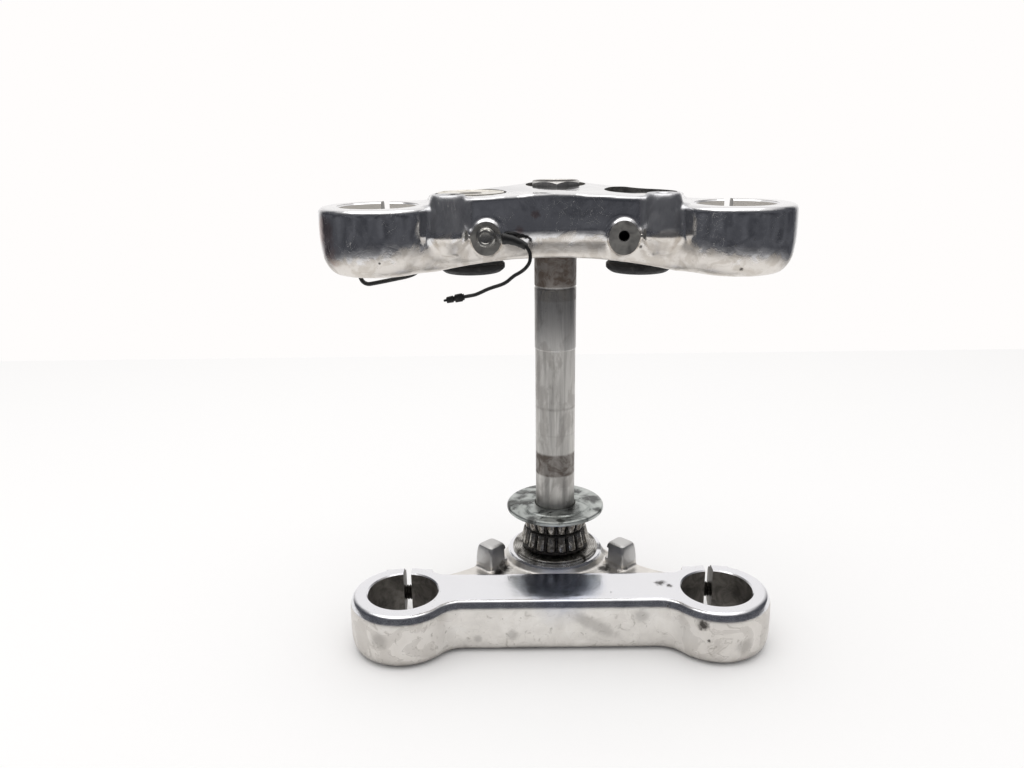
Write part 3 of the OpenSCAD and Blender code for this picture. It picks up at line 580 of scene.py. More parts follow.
def clamp_cuts(made, low, high, bolt_z, turn):
    """Fork bores, clamp slits, pinch bolt holes and the seats of the bolt heads."""
    for side in (-1, 1):
        x = side * fork_at[0]
        drill(made, fork_bore, low - 5, high, (x, fork_at[1], 0), 0.7, turn, steps=128)
        carve(made, bar("slit", (x - 2.4, fork_at[1] + fork_bore - 3, low - 5),
                        (x + 2.4, fork_at[1] + fork_bore + 24, high + 8), turn))
        for radius, start, end, out, lean in ((4.9, -24, 24, 0, 90), (7.6, 0, 29, side * 15, side * 90)):
            carve(made, peg(radius, start, end, 48, (x + out, pinch_y, bolt_z), turn,
                             Matrix.Rotation(radians(lean), 3, "Y")))


lug_at = (41.5, -16.5)


def stop_lug(side):
    """A steering stop: a cast block at 45 degrees that tapers to a domed top."""
    levels = ((22, 7.8, 1.5), (30, 7.5, 1.6), (36, 7.1, 1.7), (39.6, 6.6, 1.9), (41.0, 6.0, 2.2), (41.7, 4.9, 2.4),
              (41.9, 3.9, 2.2))
    lean = radians(45)
    points = []
    for z, half, r in levels:
        for q, (right, back) in enumerate(((1, 1), (-1, 1), (-1, -1), (1, -1))):
            for t in [radians(90 * q + 18 * k) for k in range(6)]:
                x, y = right * (half - r) + r * cos(t), back * (half - r) + r * sin(t)
                points.append((side * lug_at[0] + x * cos(lean) - y * sin(lean),
                               lug_at[1] + x * sin(lean) + y * cos(lean), z))
    return points, closed(24, len(levels))


lower = cast_shell("lower yoke", beam_plan, [(0, 6.5), (1.0, 3.9), (3.2, 1.6), (7, 0.4), (14, 0),
                                             (lower_high - 6, 0.2), (lower_high - 4.2, 0.75),
                                             (lower_high - 2.2, 1.5), (lower_high - 0.8, 2.2), (lower_high, 3.6)])
for welded in [cast_shell("deck", deck_plan, [(1, 2.4), (2.5, 0.8), (6, 0), (deck_high - 4, 0),
                                              (deck_high - 1.7, 0.4), (deck_high - 0.6, 1.2), (deck_high, 2.6)]),
               turned("stem boss", [(0, 0), (31, 0), (33, 2), (33, deck_high - 1), (29.8, 32.2), (0, 32.2)], 128),
               piece("stop", *gathered([stop_lug(1), stop_lug(-1)])),
               piece("lugs", *gathered([lug_shape(s, lower_pinch) for s in (1, -1)]))]:
    outward(welded)
    carve(lower, welded, "UNION")
as_cast(lower, 0.95, 9)
carve(lower, piece("stop", *gathered([stop_lug(1), stop_lug(-1)])), "UNION")
carve(lower, turned("boss face", [(0, 31), (38, 31), (38, 38), (31, 38), (31, 50), (0, 50)], 128))
clamp_cuts(lower, 0, lower_high, lower_pinch, False)
drill(lower, 12.75, -5, 31, (0, 0, 0), 0.6)


def any_of(masks):
    """The largest of several masks."""
    most = masks[0]
    for mask in masks[1:]:
        most = maths("MAXIMUM", most, mask)
    return most


def spots(at, ragged, *places):
    """1 inside irregular stains, easing to 0: (place, reach in millimetres, stretch, lean in degrees) each."""
    masks = []
    for where, reach, *drawn_out in places:
        long, lean = drawn_out or (1.0, 0.0)
        near = add(at.id_data, "Mapping", {"Vector": at, "Location": where, "Rotation": (0, radians(lean), 0),
                                           "Scale": (long, 1, 1)}, vector_type="TEXTURE")
        torn = plus(cloud(at, reach * 0.7, 6, 0.65, 0.4), reach * ragged * 2, vector("LENGTH", near.outputs[0]))
        masks.append(between(torn, reach * (1.15 + ragged), reach * (0.35 + ragged)))
    return any_of(masks)


satin, shader, at = finish("cast aluminium, tumbled satin with a polished top")
x, _, height = axes(at)
patch = cloud(at, 17, 5, 0.6, 0.5)
tides = cloud(at, 15, 3, 0.45, 0.9)
# ends: 0.25 in the middle to 1 at the outer ends of the clamp rings; it places painted shade there, and the tide
# marks.
ends = between(maths("ABSOLUTE", x), 55, 80, 0.25)
tide = times(ends, maths("MAXIMUM", between(tides, 0.5, 0.47, 0, 0.6), between(
    maths("ABSOLUTE", maths("SUBTRACT", tides, 0.505)), 0.016, 0.0)))
grain = cloud(at, 0.8, 4, 0.7)
strokes = cloud(stretched(at, 0.06, 0.5, 1.4), 1.0, 4, 0.7)
wall = between(height, 30.2, 29.0)
wiped = spots(at, 0.4, ((-48.6, -76, 9.7), 3.0), ((-28.6, -76, 12.2), 4.0), ((-71.4, -76, 14), 2.8),
              ((21, -76, 17.5), 4.8, 4.2, 29), ((47, -76, 24), 5, 1.2, 0), ((-104, -91, 19), 6),
              ((103, -90, 13), 6))
gouged = spots(at, 1.1, ((79.8, -90.2, 26.2), 3.4), ((83.2, -91.6, 17.1), 1.2), ((62, -76, 30.4), 0.9),
               ((61, -56, 34), 3.6), ((65.5, -59, 34), 2.2), ((-17, -44, 34), 0.8), ((30, -66, 34), 0.6))
oily = spots(at, 0.8, ((22, -31, 31), 6), ((30, -23, 27), 5), ((11, -37, 30), 4.5), ((31, -2, 30), 6),
             ((-32, -22, 28), 5), ((-37, -27, 26), 4), ((42, -24, 26), 3.5))
pits = times(between(cloud(at, 1.1, 2, 0.5), 0.7, 0.76), between(cloud(at, 24, 2), 0.45, 0.6))
grime = times(between(cloud(at, 6, 6, 0.65, 1.0), 0.56, 0.72), between(height, 30, 24))
lug = any_of([between(vector("DISTANCE", at, (s * lug_at[0], lug_at[1], 36)), 13, 10) for s in (1, -1)])
skin = shades(patch, (0.3, "#dad7d2"), (0.5, "#e9e6e1"), (0.68, "#f3f1ed"))
# Painted shade: the first coat darkens the casting towards the outer ends of the clamp rings.
for amount, colour in ((times(ends, 0.3), "#b5aea8"), (plus(wall, -0.9, 0.9), "#e9eaee"),
                       # Painted reflection: a bluish patch on the middle of the polished top of the beam.
                       (times(spots(at, 0.2, ((0, -54, 36), 27)), 0.75), "#b6c3e4"),
                       (times(wiped, 0.36), "#8f8c89"),
                       (times(times(tide, wall), 0.42), "#9c968f"),
                       # Painted shade: darker towards the foot, and a dark band along its last few millimetres
                       # where it rounds under to the table.
                       (between(plus(patch, 6, height), 11, 3, 0, 0.45), "#8d8984"),
                       (between(plus(patch, 2.5, height), 4.6, 1.8, 0, 0.85), "#454240"),
                       (times(lug, 0.75), "#bdbcb9"), (times(pits, 0.6), "#56524d"),
                       (times(oily, 0.92), "#23211f"), (times(grime, 0.5), "#7d766c"),
                       (times(gouged, 0.85), "#3a3632")):
    skin = coat(amount, skin, colour)
gloss = plus(lug, 0.2, plus(wall, 0.16, between(patch, 0.3, 0.7, 0.17, 0.26)))
feed(shader, Base_Color=skin, Metallic=1.0, Roughness=plus(gouged, 0.3, plus(wiped, 0.1, gloss)),
     Normal=bumps((times(grain, maths("MAXIMUM", wall, lug)), 0.06), (strokes, 0.014), (patch, 0.25)))

# Painted shade: the bores, slits and stem bore are coloured a dark grey, darker than bare machined aluminium.
bored, shader, at = finish("machined aluminium, darkened in the bores")
feed(shader, Metallic=0.7, Roughness=0.46, Base_Color=shades(
    cloud(at, 9, 5, 0.65, 0.6), (0.35, "#5b5854"), (0.52, "#7f7b76"), (0.68, "#9b9791")),
    Normal=bumps((cloud(stretched(at, 0.04, 0.04, 3.2), 1.0, 2), 0.03)))

machined_where(lower, lambda c, n: off_axis(c, fork_at) < fork_bore + 0.1 or hypot(c[0], c[1]) < 12.9
               or in_slit(c, n))
put(lower, (satin, bored))

# The steering stem: a hollow ground steel tube pressed in the lower yoke.
# It is streaked along its length and has brown bands where the seats were; the top band, just under the upper yoke,
# is deepened with painted shade.
stem_top = 266.0
stem = turned("steering stem", [(7, 0), (12.2, 0), (12.7, 0.5), (12.7, 64.6), (12.4, 65.6), (12.4, 166.5),
                                (12.7, 167), (12.7, 204.3), (12.2, 204.3), (12.2, 205.7), (12.7, 205.7),
                                (12.7, stem_top - 1), (11.7, stem_top), (7.8, stem_top),
                                (7, stem_top - 0.8)], 128, ease=0.15)
ground, shader, at = finish("ground steel, streaked and stained")
height = axes(at)[2]
drawn = cloud(stretched(at, 0.3, 0.3, 0.018), 1.0, 5, 0.65, 0.3)
turning = cloud(stretched(at, 0.02, 0.02, 2.2), 1.0, 3)
blotch = cloud(at, 7, 6, 0.65, 0.8)
# Brown seat bands; the one from 205 to 230 mm, just under the upper yoke, is made darker as painted shade.
bands = any_of([times(between(height, low, low + 1.5), between(height, high, high - 2, 0, deep))
                for low, high, deep in ((196.6, 206, 0.4), (205, 230, 1.25), (84, 100, 1), (128, 131, 0.3),
                                        (111, 113, 0.25))])
stained = times(bands, between(blotch, 0.4, 0.62))
rust = times(between(cloud(at, 1.4, 4, 0.7), 0.65, 0.71), between(cloud(at, 12), 0.5, 0.6))
steel = shades(drawn, (0.3, "#a9a7a4"), (0.46, "#bcbab6"), (0.58, "#cdcbc7"), (0.72, "#b1afab"))
dim = times(between(cloud(stretched(at, 1, 1, 0.55), 13, 5, 0.6, 0.4), 0.5, 0.6), 0.4)
for amount, colour in ((between(plus(blotch, 5, height), 169.3, 169.7, 0, 0.16), "#9a9ca1"), (dim, "#8b8682"),
                       (times(bands, 0.66), "#6e6762"), (times(stained, 0.6), "#54463b"),
                       (times(rust, 0.85), "#33261c")):
    steel = coat(amount, steel, colour)
feed(shader, Base_Color=steel, Metallic=between(stained, 0, 1, 1.0, 0.75),
     Roughness=plus(stained, 0.22, between(drawn, 0.3, 0.7, 0.44, 0.36)),
     Normal=bumps((turning, 0.012), (blotch, 0.05)))
put(stem, ground)

# Lower dust ring: a dark steel ring with two lips, pressed down to the boss face.
boss_high, ring_high = 31.0, 2.2
lips = turned("lower dust ring", [(12.72, boss_high), (27.8, boss_high), (27.8, boss_high + 0.8),
                                  (26.9, boss_high + 1.0), (26.9, boss_high + 1.35), (27.4, boss_high + 1.5),
                                  (27.0, boss_high + 2.2), (12.72, boss_high + 2.2)], 128, ease=0.2)
greasy = stained_finish("hardened steel under old grease", (3.5, 6, 0.6, 1.0), (0.35, 0.65, 0.22, 0.46), (
    (0.42, "#9a9893"), (0.54, "#67645f"), (0.66, "#211e1b")), (0.4, 0.6, 1.0, 0.35), 0.12)
lipped, shader, at = finish("turned steel, wiped, grease in its grooves")
film = cloud(at, 8, 4, 0.55, 0.6)
groove = between(maths("SINE", times(vector("LENGTH", stretched(at, 1, 1, 0)), 5.2)), 0.3, 0.9)
feed(shader, Metallic=1.0, Roughness=between(film, 0.4, 0.65, 0.24, 0.38),
     Base_Color=coat(times(groove, 0.55), shades(
    film, (0.42, "#b9b7b3"), (0.56, "#96938e"), (0.66, "#3c3935")), "#2d2a27"),
     Normal=bumps((groove, -0.05), (film, 0.1)))
put(lips, lipped)

# The two taper bearings: ground inner rings, rollers in pressed cages, all in black old grease.
# The upper one lies upside down on the lower one at the foot of the stem.
cone_seat, cone_high, roller_count = boss_high + ring_high, 14.2, 18
stack_top = cone_seat + 2 * cone_high
tilt, roller_long, big_r, small_r, rib = radians(11.2), 9.6, 3.1, 2.65, 2.5
big_c = 22.4 - big_r * cos(tilt)
small_c = big_c - roller_long * sin(tilt)
base_z = rib + big_r * sin(tilt) + 0.25
top_z = base_z + roller_long * cos(tilt)
race_big, race_small = big_c - big_r / cos(tilt) - 0.15, small_c - small_r / cos(tilt) - 0.15
race_rise = (race_small - race_big) / (top_z - base_z)
cage_rise = (small_c - big_c) / (top_z - base_z)


def ring_of(made, count):
    """A piece repeated count times round the stem by a Geometry Nodes tree."""
    tree = bpy.data.node_groups.new("ring of rollers", "GeometryNodeTree")
    sockets = {name: tree.interface.new_socket(name, in_out=way, socket_type="NodeSocket" + kind)
               for name, way, kind in (("Geometry", "INPUT", "Geometry"), ("Count", "INPUT", "Int"),
                                       ("Finish", "INPUT", "Material"), ("Ring", "OUTPUT", "Geometry"))}
    given = add(tree, "NodeGroupInput").outputs
    share = add(tree, "Math", {0: add(tree, "GeometryNodeInputIndex"), 1: given["Count"]}, operation="DIVIDE")
    angle = add(tree, "CombineXYZ", {"Z": add(tree, "Math", {0: share, 1: 2 * pi}, operation="MULTIPLY")})
    copies = add(tree, "GeometryNodeInstanceOnPoints", {
        "Points": add(tree, "GeometryNodePoints", {"Count": given["Count"]}), "Instance": given["Geometry"],
        "Rotation": angle})
    painted = add(tree, "GeometryNodeSetMaterial", {
        "Geometry": add(tree, "GeometryNodeRealizeInstances", {0: copies}), "Material": given["Finish"]})
    add(tree, "NodeGroupOutput", {0: painted})
    round_it = made.modifiers.new("ring", "NODES")
    round_it.node_group = tree
    round_it[sockets["Count"].identifier] = count
    round_it[sockets["Finish"].identifier] = greasy
    return settle(made)


def bearing_cone(name, place):
    """An inner ring with its rib and conical raceway, set by place."""
    return turned(name, [(12.72, 0.6), (13.3, 0), (race_big + 2.1, 0), (race_big + 2.6, 0.5),
                         (race_big + 2.2, rib - 0.2), (race_big + (rib - base_z) * race_rise, rib - 0.2),
                         (race_small + (cone_high - top_z) * race_rise, cone_high - 0.3),
                         (race_small - 0.8, cone_high), (12.72, cone_high)], 128, ease=0.25, lie=place)


def rollers(name, place):
    """The rollers of a bearing, with eased ends and the recess ground in each large end."""
    lean = Matrix.Translation((big_c, 0, base_z)) @ Matrix.Rotation(-tilt, 4, "Y")
    one = turned(name, [(0, 0.35), (big_r * 0.45, 0.35), (big_r * 0.55, 0), (big_r, 0), (small_r, roller_long),
                        (small_r * 0.5, roller_long), (0, roller_long - 0.2)], 28, ease=0.35, lie=place @ lean)
    return ring_of(one, roller_count)


def cage(name, place):
    """The pressed cage of a bearing: a conical shell with one pocket a roller and a turned-in lip."""
    lift = 1.5
    foot_z, head_z = base_z - 1.7, top_z + 0.8
    pocket_low, pocket_high = base_z - 0.2, top_z + 0.1
    wide_low = sqrt(big_r ** 2 - 1) + 0.2
    wide_high = sqrt(small_r ** 2 - 1) + 0.2
    rows = [foot_z, foot_z + 0.8, pocket_low, pocket_low + 0.5] + [
        pocket_low + 0.5 + (pocket_high - pocket_low - 1) * k / 5 for k in range(1, 6)] + [
        pocket_high, head_z - 0.3, head_z]
    points, faces = [], []
    cells, open_cells = 10, 6
    for z in rows:
        r = big_c + lift + (z - base_z) * cage_rise
        share = min(1, max(0, (z - pocket_low) / (pocket_high - pocket_low)))
        half = (wide_low + (wide_high - wide_low) * share) / r
        for k in range(roller_count):
            middle = 2 * pi * k / roller_count
            for q in range(cells):
                a = (middle - half + 2 * half * q / open_cells if q <= open_cells else
                     middle + half + (2 * pi / roller_count - 2 * half) * (q - open_cells) / (cells - open_cells))
                points.append((r * cos(a), r * sin(a), z))
    n = roller_count * cells
    for j in range(len(rows) - 1):
        for i in range(n):
            if not (2 <= j <= len(rows) - 4 and i % cells < open_cells):
                faces.append((j * n + i, j * n + (i + 1) % n, (j + 1) * n + (i + 1) % n, (j + 1) * n + i))
    last = (len(rows) - 1) * n
    for z, inwards in ((head_z - 0.1, 0.9), (head_z - 0.25, 1.6)):
        for i in range(n):
            p = Vector(points[last + i])
            flat = Vector((p.x, p.y, 0)).normalized() * inwards
            points.append((p.x - flat.x, p.y - flat.y, z))
        first = len(points) - n
        below = last if inwards < 1 else first - n
        faces += [(below + i, below + (i + 1) % n, first + (i + 1) % n, first + i) for i in range(n)]
    made = piece(name, [place @ Vector(p) for p in points], faces)
    outward(made)
    pressed = made.modifiers.new("pressed sheet", "SOLIDIFY")
    pressed.thickness, pressed.offset = 0.9, 0
    return settle(made)


bright = stained_finish("ground roller steel, greasy", (2.6, 5, 0.6, 0.8), (0.4, 0.65, 0.2, 0.42), (
    (0.42, "#a9a6a0"), (0.6, "#837e77"), (0.72, "#4a443e")), 1.0, 0.05)
blackened = stained_finish("pressed cage steel, black with grease", (2.2, 6, 0.65, 1.2), (0.4, 0.62, 0.28, 0.55), (
    (0.38, "#47433f"), (0.5, "#232120"), (0.62, "#100f0e")), 0.55, 0.15)
for side, place, body in (("lower", Matrix.Translation((0, 0, cone_seat)), "lower_rollers"),
                          ("upper", Matrix.Translation((0, 0, stack_top)) @ Matrix.Scale(-1, 4, (0, 0, 1)),
                           "upper_rollers")):
    put(bearing_cone(side + " bearing cone", place), greasy)
    put(rollers(side + " bearing rollers", place), bright, body=body)
    put(cage(side + " bearing cage", place), blackened, None, body, 40, 0.12)

# Dust shield: a dished washer of zinc-plated sheet that lies on the upper bearing.
# It is dull bluish grey and smeared with dark grease.
dished = turned("dust shield", [(13.2, stack_top), (22, stack_top), (23, stack_top - 0.7),
                                (29.9, stack_top - 0.7), (29.9, stack_top - 2.1), (31.3, stack_top - 2.1),
                                (31.3, stack_top - 0.2), (30.5, stack_top + 0.7), (23.6, stack_top + 0.7),
                                (22.6, stack_top + 1.4), (13.2, stack_top + 1.4)], 144, ease=0.5)
zinc, shader, at = finish("zinc-plated sheet, dulled and greasy")
smear = cloud(at, 19, 5, 0.55, 0.8)
fleck = cloud(at, 2.0, 5, 0.7)
plate = shades(smear, (0.4, "#c6cac7"), (0.52, "#a6aba8"), (0.555, "#717573"), (0.61, "#3a3c3a"))
dirt = spots(at, 0.8, ((24, 4, stack_top), 8), ((27, -12, stack_top), 4), ((-16, -25, stack_top), 5),
             ((-22, 8, stack_top), 5), ((2, -28, stack_top), 3.5))
plate = coat(times(dirt, 0.85), plate, "#262726")
feed(shader, Base_Color=coat(between(fleck, 0.6, 0.72, 0, 0.7), plate, "#c9cdca"), Metallic=0.85,
     Roughness=between(smear, 0.4, 0.65, 0.38, 0.24), Normal=bumps((smear, 0.5), (fleck, 0.03)))
put(dished, zinc, ["upper_dust_shield"])

# The upper yoke: one aluminium casting, polished by hand all over and worn since.
# Its crown is arched, its foot rounds far under, and the faces, bores and recesses are machined.
upper_z, upper_high, crown_rise, crease_high = 223.0, 36.0, 5.5, 20.0
upper_front, upper_ring, bush_at, bush_boss, crown_boss = 72.0, 31.0, (47.0, -30.0), 27.0, 25.0
cone_at, face_at, face_high = (55.0, -68.0), (35.2, -75.4), 244.0
crown_top = upper_z + upper_high + crown_rise


def rear_hollows():
    """Centres of the hollow curves from ring to bush boss and from bush boss to stem boss."""
    return (hollow_between(bush_at, bush_boss, fork_at, upper_ring, 14),
            hollow_between((0, 0), crown_boss, bush_at, bush_boss, 20))


def upper_plan(e):
    """The right half of the upper yoke, inset by e."""
    f, line = front_wall(upper_front, upper_ring, e)
    g, h = rear_hollows()
    return (line + sweep(fork_at, upper_ring - e, f, g, 1, 64)[1:] + sweep(g, 14 + e, fork_at, bush_at, -1, 10)[1:]
            + sweep(bush_at, bush_boss - e, g, h, 1, 20)[1:] + sweep(h, 20 + e, bush_at, (0, 0), -1, 14)[1:]
            + sweep((0, 0), crown_boss - e, h, (0, 1), 1, 16)[1:])


def crown_plan(e):
    """The right half of the raised centre, inset by e."""
    k, tuck = (54, -62.6), 3.4
    rb, h = bush_boss - tuck, rear_hollows()[1]
    d = hypot(bush_at[0] - k[0], bush_at[1] - k[1])
    a = heading(k, bush_at) - pi / 2 - asin((rb - 10) / d)
    out = (cos(a), sin(a))
    return ([(0, e - upper_front - 0.6)]
            + sweep(k, 10 - e, (k[0], k[1] - 1), (k[0] + out[0], k[1] + out[1]), 1, 16)
            + sweep(bush_at, rb - e, (bush_at[0] + out[0], bush_at[1] + out[1]), h, 1, 24)
            + sweep(h, 20 + tuck + e, bush_at, (0, 0), -1, 14)[1:]
            + sweep((0, 0), crown_boss - tuck - e, h, (0, 1), 1, 16)[1:])


def arched(p):
    """The crown's top is highest in the middle and falls to the cone bosses."""
    lift = min(1, max(0, (p[2] - upper_z - crease_high - 6) / 14))
    return (p[0], p[1], p[2] + lift * (1.5 - 3.4 * min(1, abs(p[0]) / 50) ** 2))


upper = cast_shell("upper yoke", upper_plan, [
    (1.2, 9), (2, 6.8), (3.8, 4.7), (7, 2.6), (12, 0.9), (crease_high, 0), (upper_high - 3.0, 0),
    (upper_high - 1.2, 0.4), (upper_high - 0.2, 1.2), (upper_high + 0.2, 2.6)], upper_z)
crown = cast_shell("crown", crown_plan, [
    (crease_high - 6, 9), (crease_high - 0.4, 0), (upper_high + crown_rise - 2.2, 0),
    (upper_high + crown_rise - 0.9, 0.3), (upper_high + crown_rise - 0.1, 1.0),
    (upper_high + crown_rise, 2.4)], upper_z, arched)
arch_half, arch_rise = 68.0, 9.2
arch_r = (arch_half ** 2 + arch_rise ** 2) / (2 * arch_rise)
for welded in [crown] + [
        turned("cone boss", [(0, 233), (6, 234), (12.9, 243.3), (9.6, 262.6), (8.6, 265.2), (0, 265.2)],
               64, at=(s * cone_at[0], cone_at[1], 0)) for s in (1, -1)] + [
        piece("lugs", *gathered([lug_shape(s, upper_pinch) for s in (1, -1)]))] + [
        turned("face boss", [(0, -12), (7.9, -12), (8.3, 0), (7.9, 4.4), (0, 4.4)], 64,
               at=(s * face_at[0], -upper_front, face_high - 1.0),
               lie=Matrix.Rotation(radians(90), 3, "X") @ Matrix.Diagonal((1, 1.13, 1))) for s in (1, -1)]:
    outward(welded)
    carve(upper, welded, "UNION")
carve(upper, peg(arch_r, -110, 0, 1440, (0, 8, upper_z + arch_rise - arch_r), lie=Matrix.Rotation(
    radians(-90), 3, "X")))
carve(upper, turned("stem boss", [(0, 226.5), (22.6, 226.5), (24.4, 228.3), (24.4, 240), (0, 240)], 96), "UNION")
as_cast(upper, 1.0, 9)
upper.data.transform(Matrix.Rotation(yoke_turn, 4, "Z"))
clamp_cuts(upper, upper_z, upper_z + upper_high, upper_pinch, True)
for s in (1, -1):
    drill(upper, 17.25, upper_z - 9, 258, (s * bush_at[0], bush_at[1], 0), 2.75, True)
    carve(upper, peg(20, 258, 280, 96, (s * bush_at[0], bush_at[1], 0), True))
    carve(upper, peg(14, 264.9, 280, 64, (s * cone_at[0], cone_at[1], 0), True))
    drill(upper, 3.4, crown_top - 17.6, crown_top + 0.4, (s * cone_at[0], cone_at[1], 0), 0.6, True, steps=40)
    carve(upper, peg(10.6, 75.4, 90, 64, (s * face_at[0], 0, face_high - 1.0), True,
                      Matrix.Rotation(radians(90), 3, "X")))
    drill(upper, 2.5, 59.4, 75.4, (s * face_at[0], 0, face_high), 0.2, True, "Y", 40)
    carve(upper, peg(1.25, 218, 232.3, 24, (-fork_at[0] + s * 17, -41.6, 0), True))
drill(upper, 12.75, upper_z - 5, 264.5, (0, 0, 0), 0.5, True)
carve(upper, turned("nut recess", [(0, 258.5), (17.1, 258.5), (17.5, 259), (17.5, 290), (0, 290)], 96, turn=True))


def near_axes(at, across, place, outer, inner):
    """1 within inner of either of two parallel axes, left and right of the middle, easing to 0 at outer."""
    flat = stretched(at, *across)
    return any_of([between(vector("DISTANCE", flat, (s * place[0], place[1], place[2])), outer, inner)
                   for s in (1, -1)])


def unturned(at):
    """The point as it lies in the upper yoke before that is turned on the stem."""
    return add(at.id_data, "VectorRotate", {"Vector": at, "Angle": -yoke_turn}, rotation_type="Z_AXIS").outputs[0]


polished, shader, at = finish("cast aluminium, polished by hand and worn")
local = unturned(at)
x, _, height = axes(local)
wave = cloud(local, 26, 3, 0.5)
haze = cloud(local, 9, 6, 0.62, 0.9)
fine = cloud(local, 1.4, 5, 0.7)
buffed = cloud(stretched(local, 0.05, 0.4, 0.9), 1.0, 4, 0.7)
spread = between(maths("ABSOLUTE", x), 60, 96, 0, 9)
under = between(maths("ADD", plus(cloud(local, 14, 5, 0.6, 0.5), 34, height), spread), 261.5, 257)
hair = cloud(stretched(local, 1, 1, 0.7), 11, 2, 0.4, 2.6)
scratched = times(between(maths("ABSOLUTE", maths("SUBTRACT", hair, 0.5)), 0.006, 0.0),
                  between(cloud(local, 19, 3), 0.5, 0.58))
dull = times(under, between(haze, 0.44, 0.6))
pitted = times(between(fine, 0.62, 0.74), plus(under, 0.7, 0.12))
# Painted reflection: a brown patch on the outer end of the left ring; two small pinkish tints sit on the front,
# left of the middle.
tinted = spots(local, 0.9, ((-119, -80, 247), 11), ((-116, -84, 237), 8), ((-10, -73, 255), 2.6),
               ((-18, -73, 247), 2.4))
cones = times(near_axes(local, (1, 1, 0), (*cone_at, 0), 15, 12), between(height, 244, 248))
nicks = spots(local, 0.7, ((88, -92, 241), 0.8), ((97, -92.5, 244), 0.6), ((15, -70, 265.5), 0.8),
              ((-52, -66, 264), 5.5), ((92, -90, 229), 1.2), ((70, -84, 232), 0.9), ((-88, -91, 233), 0.8),
              ((6, -74, 236), 0.8), ((44, -72, 238), 1.0))
skin = shades(wave, (0.35, "#d8d8da"), (0.6, "#e2e2e3"))
for amount, colour in ((times(under, 0.8), "#e0dad2"), (times(dull, 0.5), "#bdb5aa"),
                       (times(pitted, 0.8), "#5a534c"), (times(tinted, 0.5), "#a87a6e"),
                       (times(cones, 0.7), "#b4b5b8"), (times(scratched, 0.8), "#f4f2ee"),
                       (times(nicks, 0.8), "#35302c")):
    skin = coat(amount, skin, colour)
cut = plus(cones, 0.26, plus(under, 0.2, between(haze, 0.4, 0.7, 0.08, 0.16)))
feed(shader, Base_Color=skin, Metallic=1.0,
     Roughness=plus(nicks, 0.35, plus(pitted, 0.2, plus(scratched, 0.4, cut))),
     Normal=bumps((wave, 0.8), (haze, 0.1), (buffed, 0.01), (times(fine, under), 0.05)))

faced, shader, at = finish("machined aluminium, grey and worn")
worn = cloud(at, 5, 5, 0.6, 0.6)
# Painted shade: the walls of the small holes in the front faces are coloured near black.
hole = near_axes(unturned(at), (1, 0, 1), (face_at[0], 0, face_high), 3.1, 2.7)
bore = near_axes(unturned(at), (1, 1, 0), (*fork_at, 0), 21.6, 21.2)
grey = shades(worn, (0.36, "#8a8885"), (0.5, "#a19f9b"), (0.64, "#b2b0ab"))
feed(shader, Metallic=plus(bore, -0.8, between(hole, 0, 1, 1.0, 0.2)),
     Roughness=between(worn, 0.35, 0.65, 0.5, 0.62),
     Base_Color=coat(hole, coat(bore, grey, "#cfccc7"), "#161514"), Normal=bumps((cloud(at, 0.9), 0.006)))


def upper_machined(c, n):
    """Bores, slits, recesses and faces of the upper yoke, which a cutter has been over."""
    c = (c[0] * cos(yoke_turn) + c[1] * sin(yoke_turn), c[1] * cos(yoke_turn) - c[0] * sin(yoke_turn), c[2])
    return (off_axis(c, fork_at) < fork_bore + 0.1 or hypot(c[0], c[1]) < (17.6 if c[2] > 258 else 12.9)
            or off_axis(c, bush_at) < (20.1 if c[2] > 254 else 17.3) or (c[2] > 246 and off_axis(c, cone_at) < 3.5)
            or off_axis((c[0], c[2]), (face_at[0], face_high)) < (11 if c[1] < -75.3 else 2.6)
            or in_slit(c, n))


machined_where(upper, upper_machined)
put(upper, (polished, faced))

# The stem nut: a low hexagon nut of turned steel, sunk in the crown.
nut_z, nut_high, nut_flat = 258.5, 9.0, 27.0
corner = nut_flat / 2 / cos(radians(30))


def six_sided(reach, lean=0):
    """The outline of a hexagon round the axis."""
    return [(reach * cos(radians(60 * k + lean)), reach * sin(radians(60 * k + lean))) for k in range(6)]


def prism(name, outline, low, high):
    """A straight piece of the given outline between two heights."""
    made = piece(name, [(x, y, z) for z in (low, high) for x, y in outline], closed(len(outline), 2))
    outward(made)
    return made


nut = carve(prism("stem nut", six_sided(corner, 30), nut_z, nut_z + nut_high),
            turned("chamfer", [(0, nut_z), (corner - 0.8, nut_z), (corner, nut_z + 0.8),
                               (corner, nut_z + nut_high - 1.4), (nut_flat / 2 - 0.4, nut_z + nut_high),
                               (0, nut_z + nut_high)], 96), "INTERSECT")
drill(nut, 12.72, nut_z - 5, nut_z + nut_high, (0, 0, 0), 0.7)
put(nut, ground, crisp=0.25)

# The pinch bolts: black socket bolts through the slits, with a cut thread; their knurled heads are drawn plain and
# round.
key_reach = 4.62


def thread(radius, depth, pitch, low, high):
    """A threaded shank: a helix wound round its own axis."""
    steps, rows = 24, int((high - low) / pitch * 5)
    points = []
    for j in range(rows + 1):
        z = low + (high - low) * j / rows
        for k in range(steps):
            phase = (z / pitch - k / steps) % 1
            r = radius - depth * min(1, abs(phase - 0.5) * 2.4) * min(1, 2 * (high - z) / pitch)
            points.append((r * cos(2 * pi * k / steps), r * sin(2 * pi * k / steps), z))
    return points, closed(steps, rows + 1)


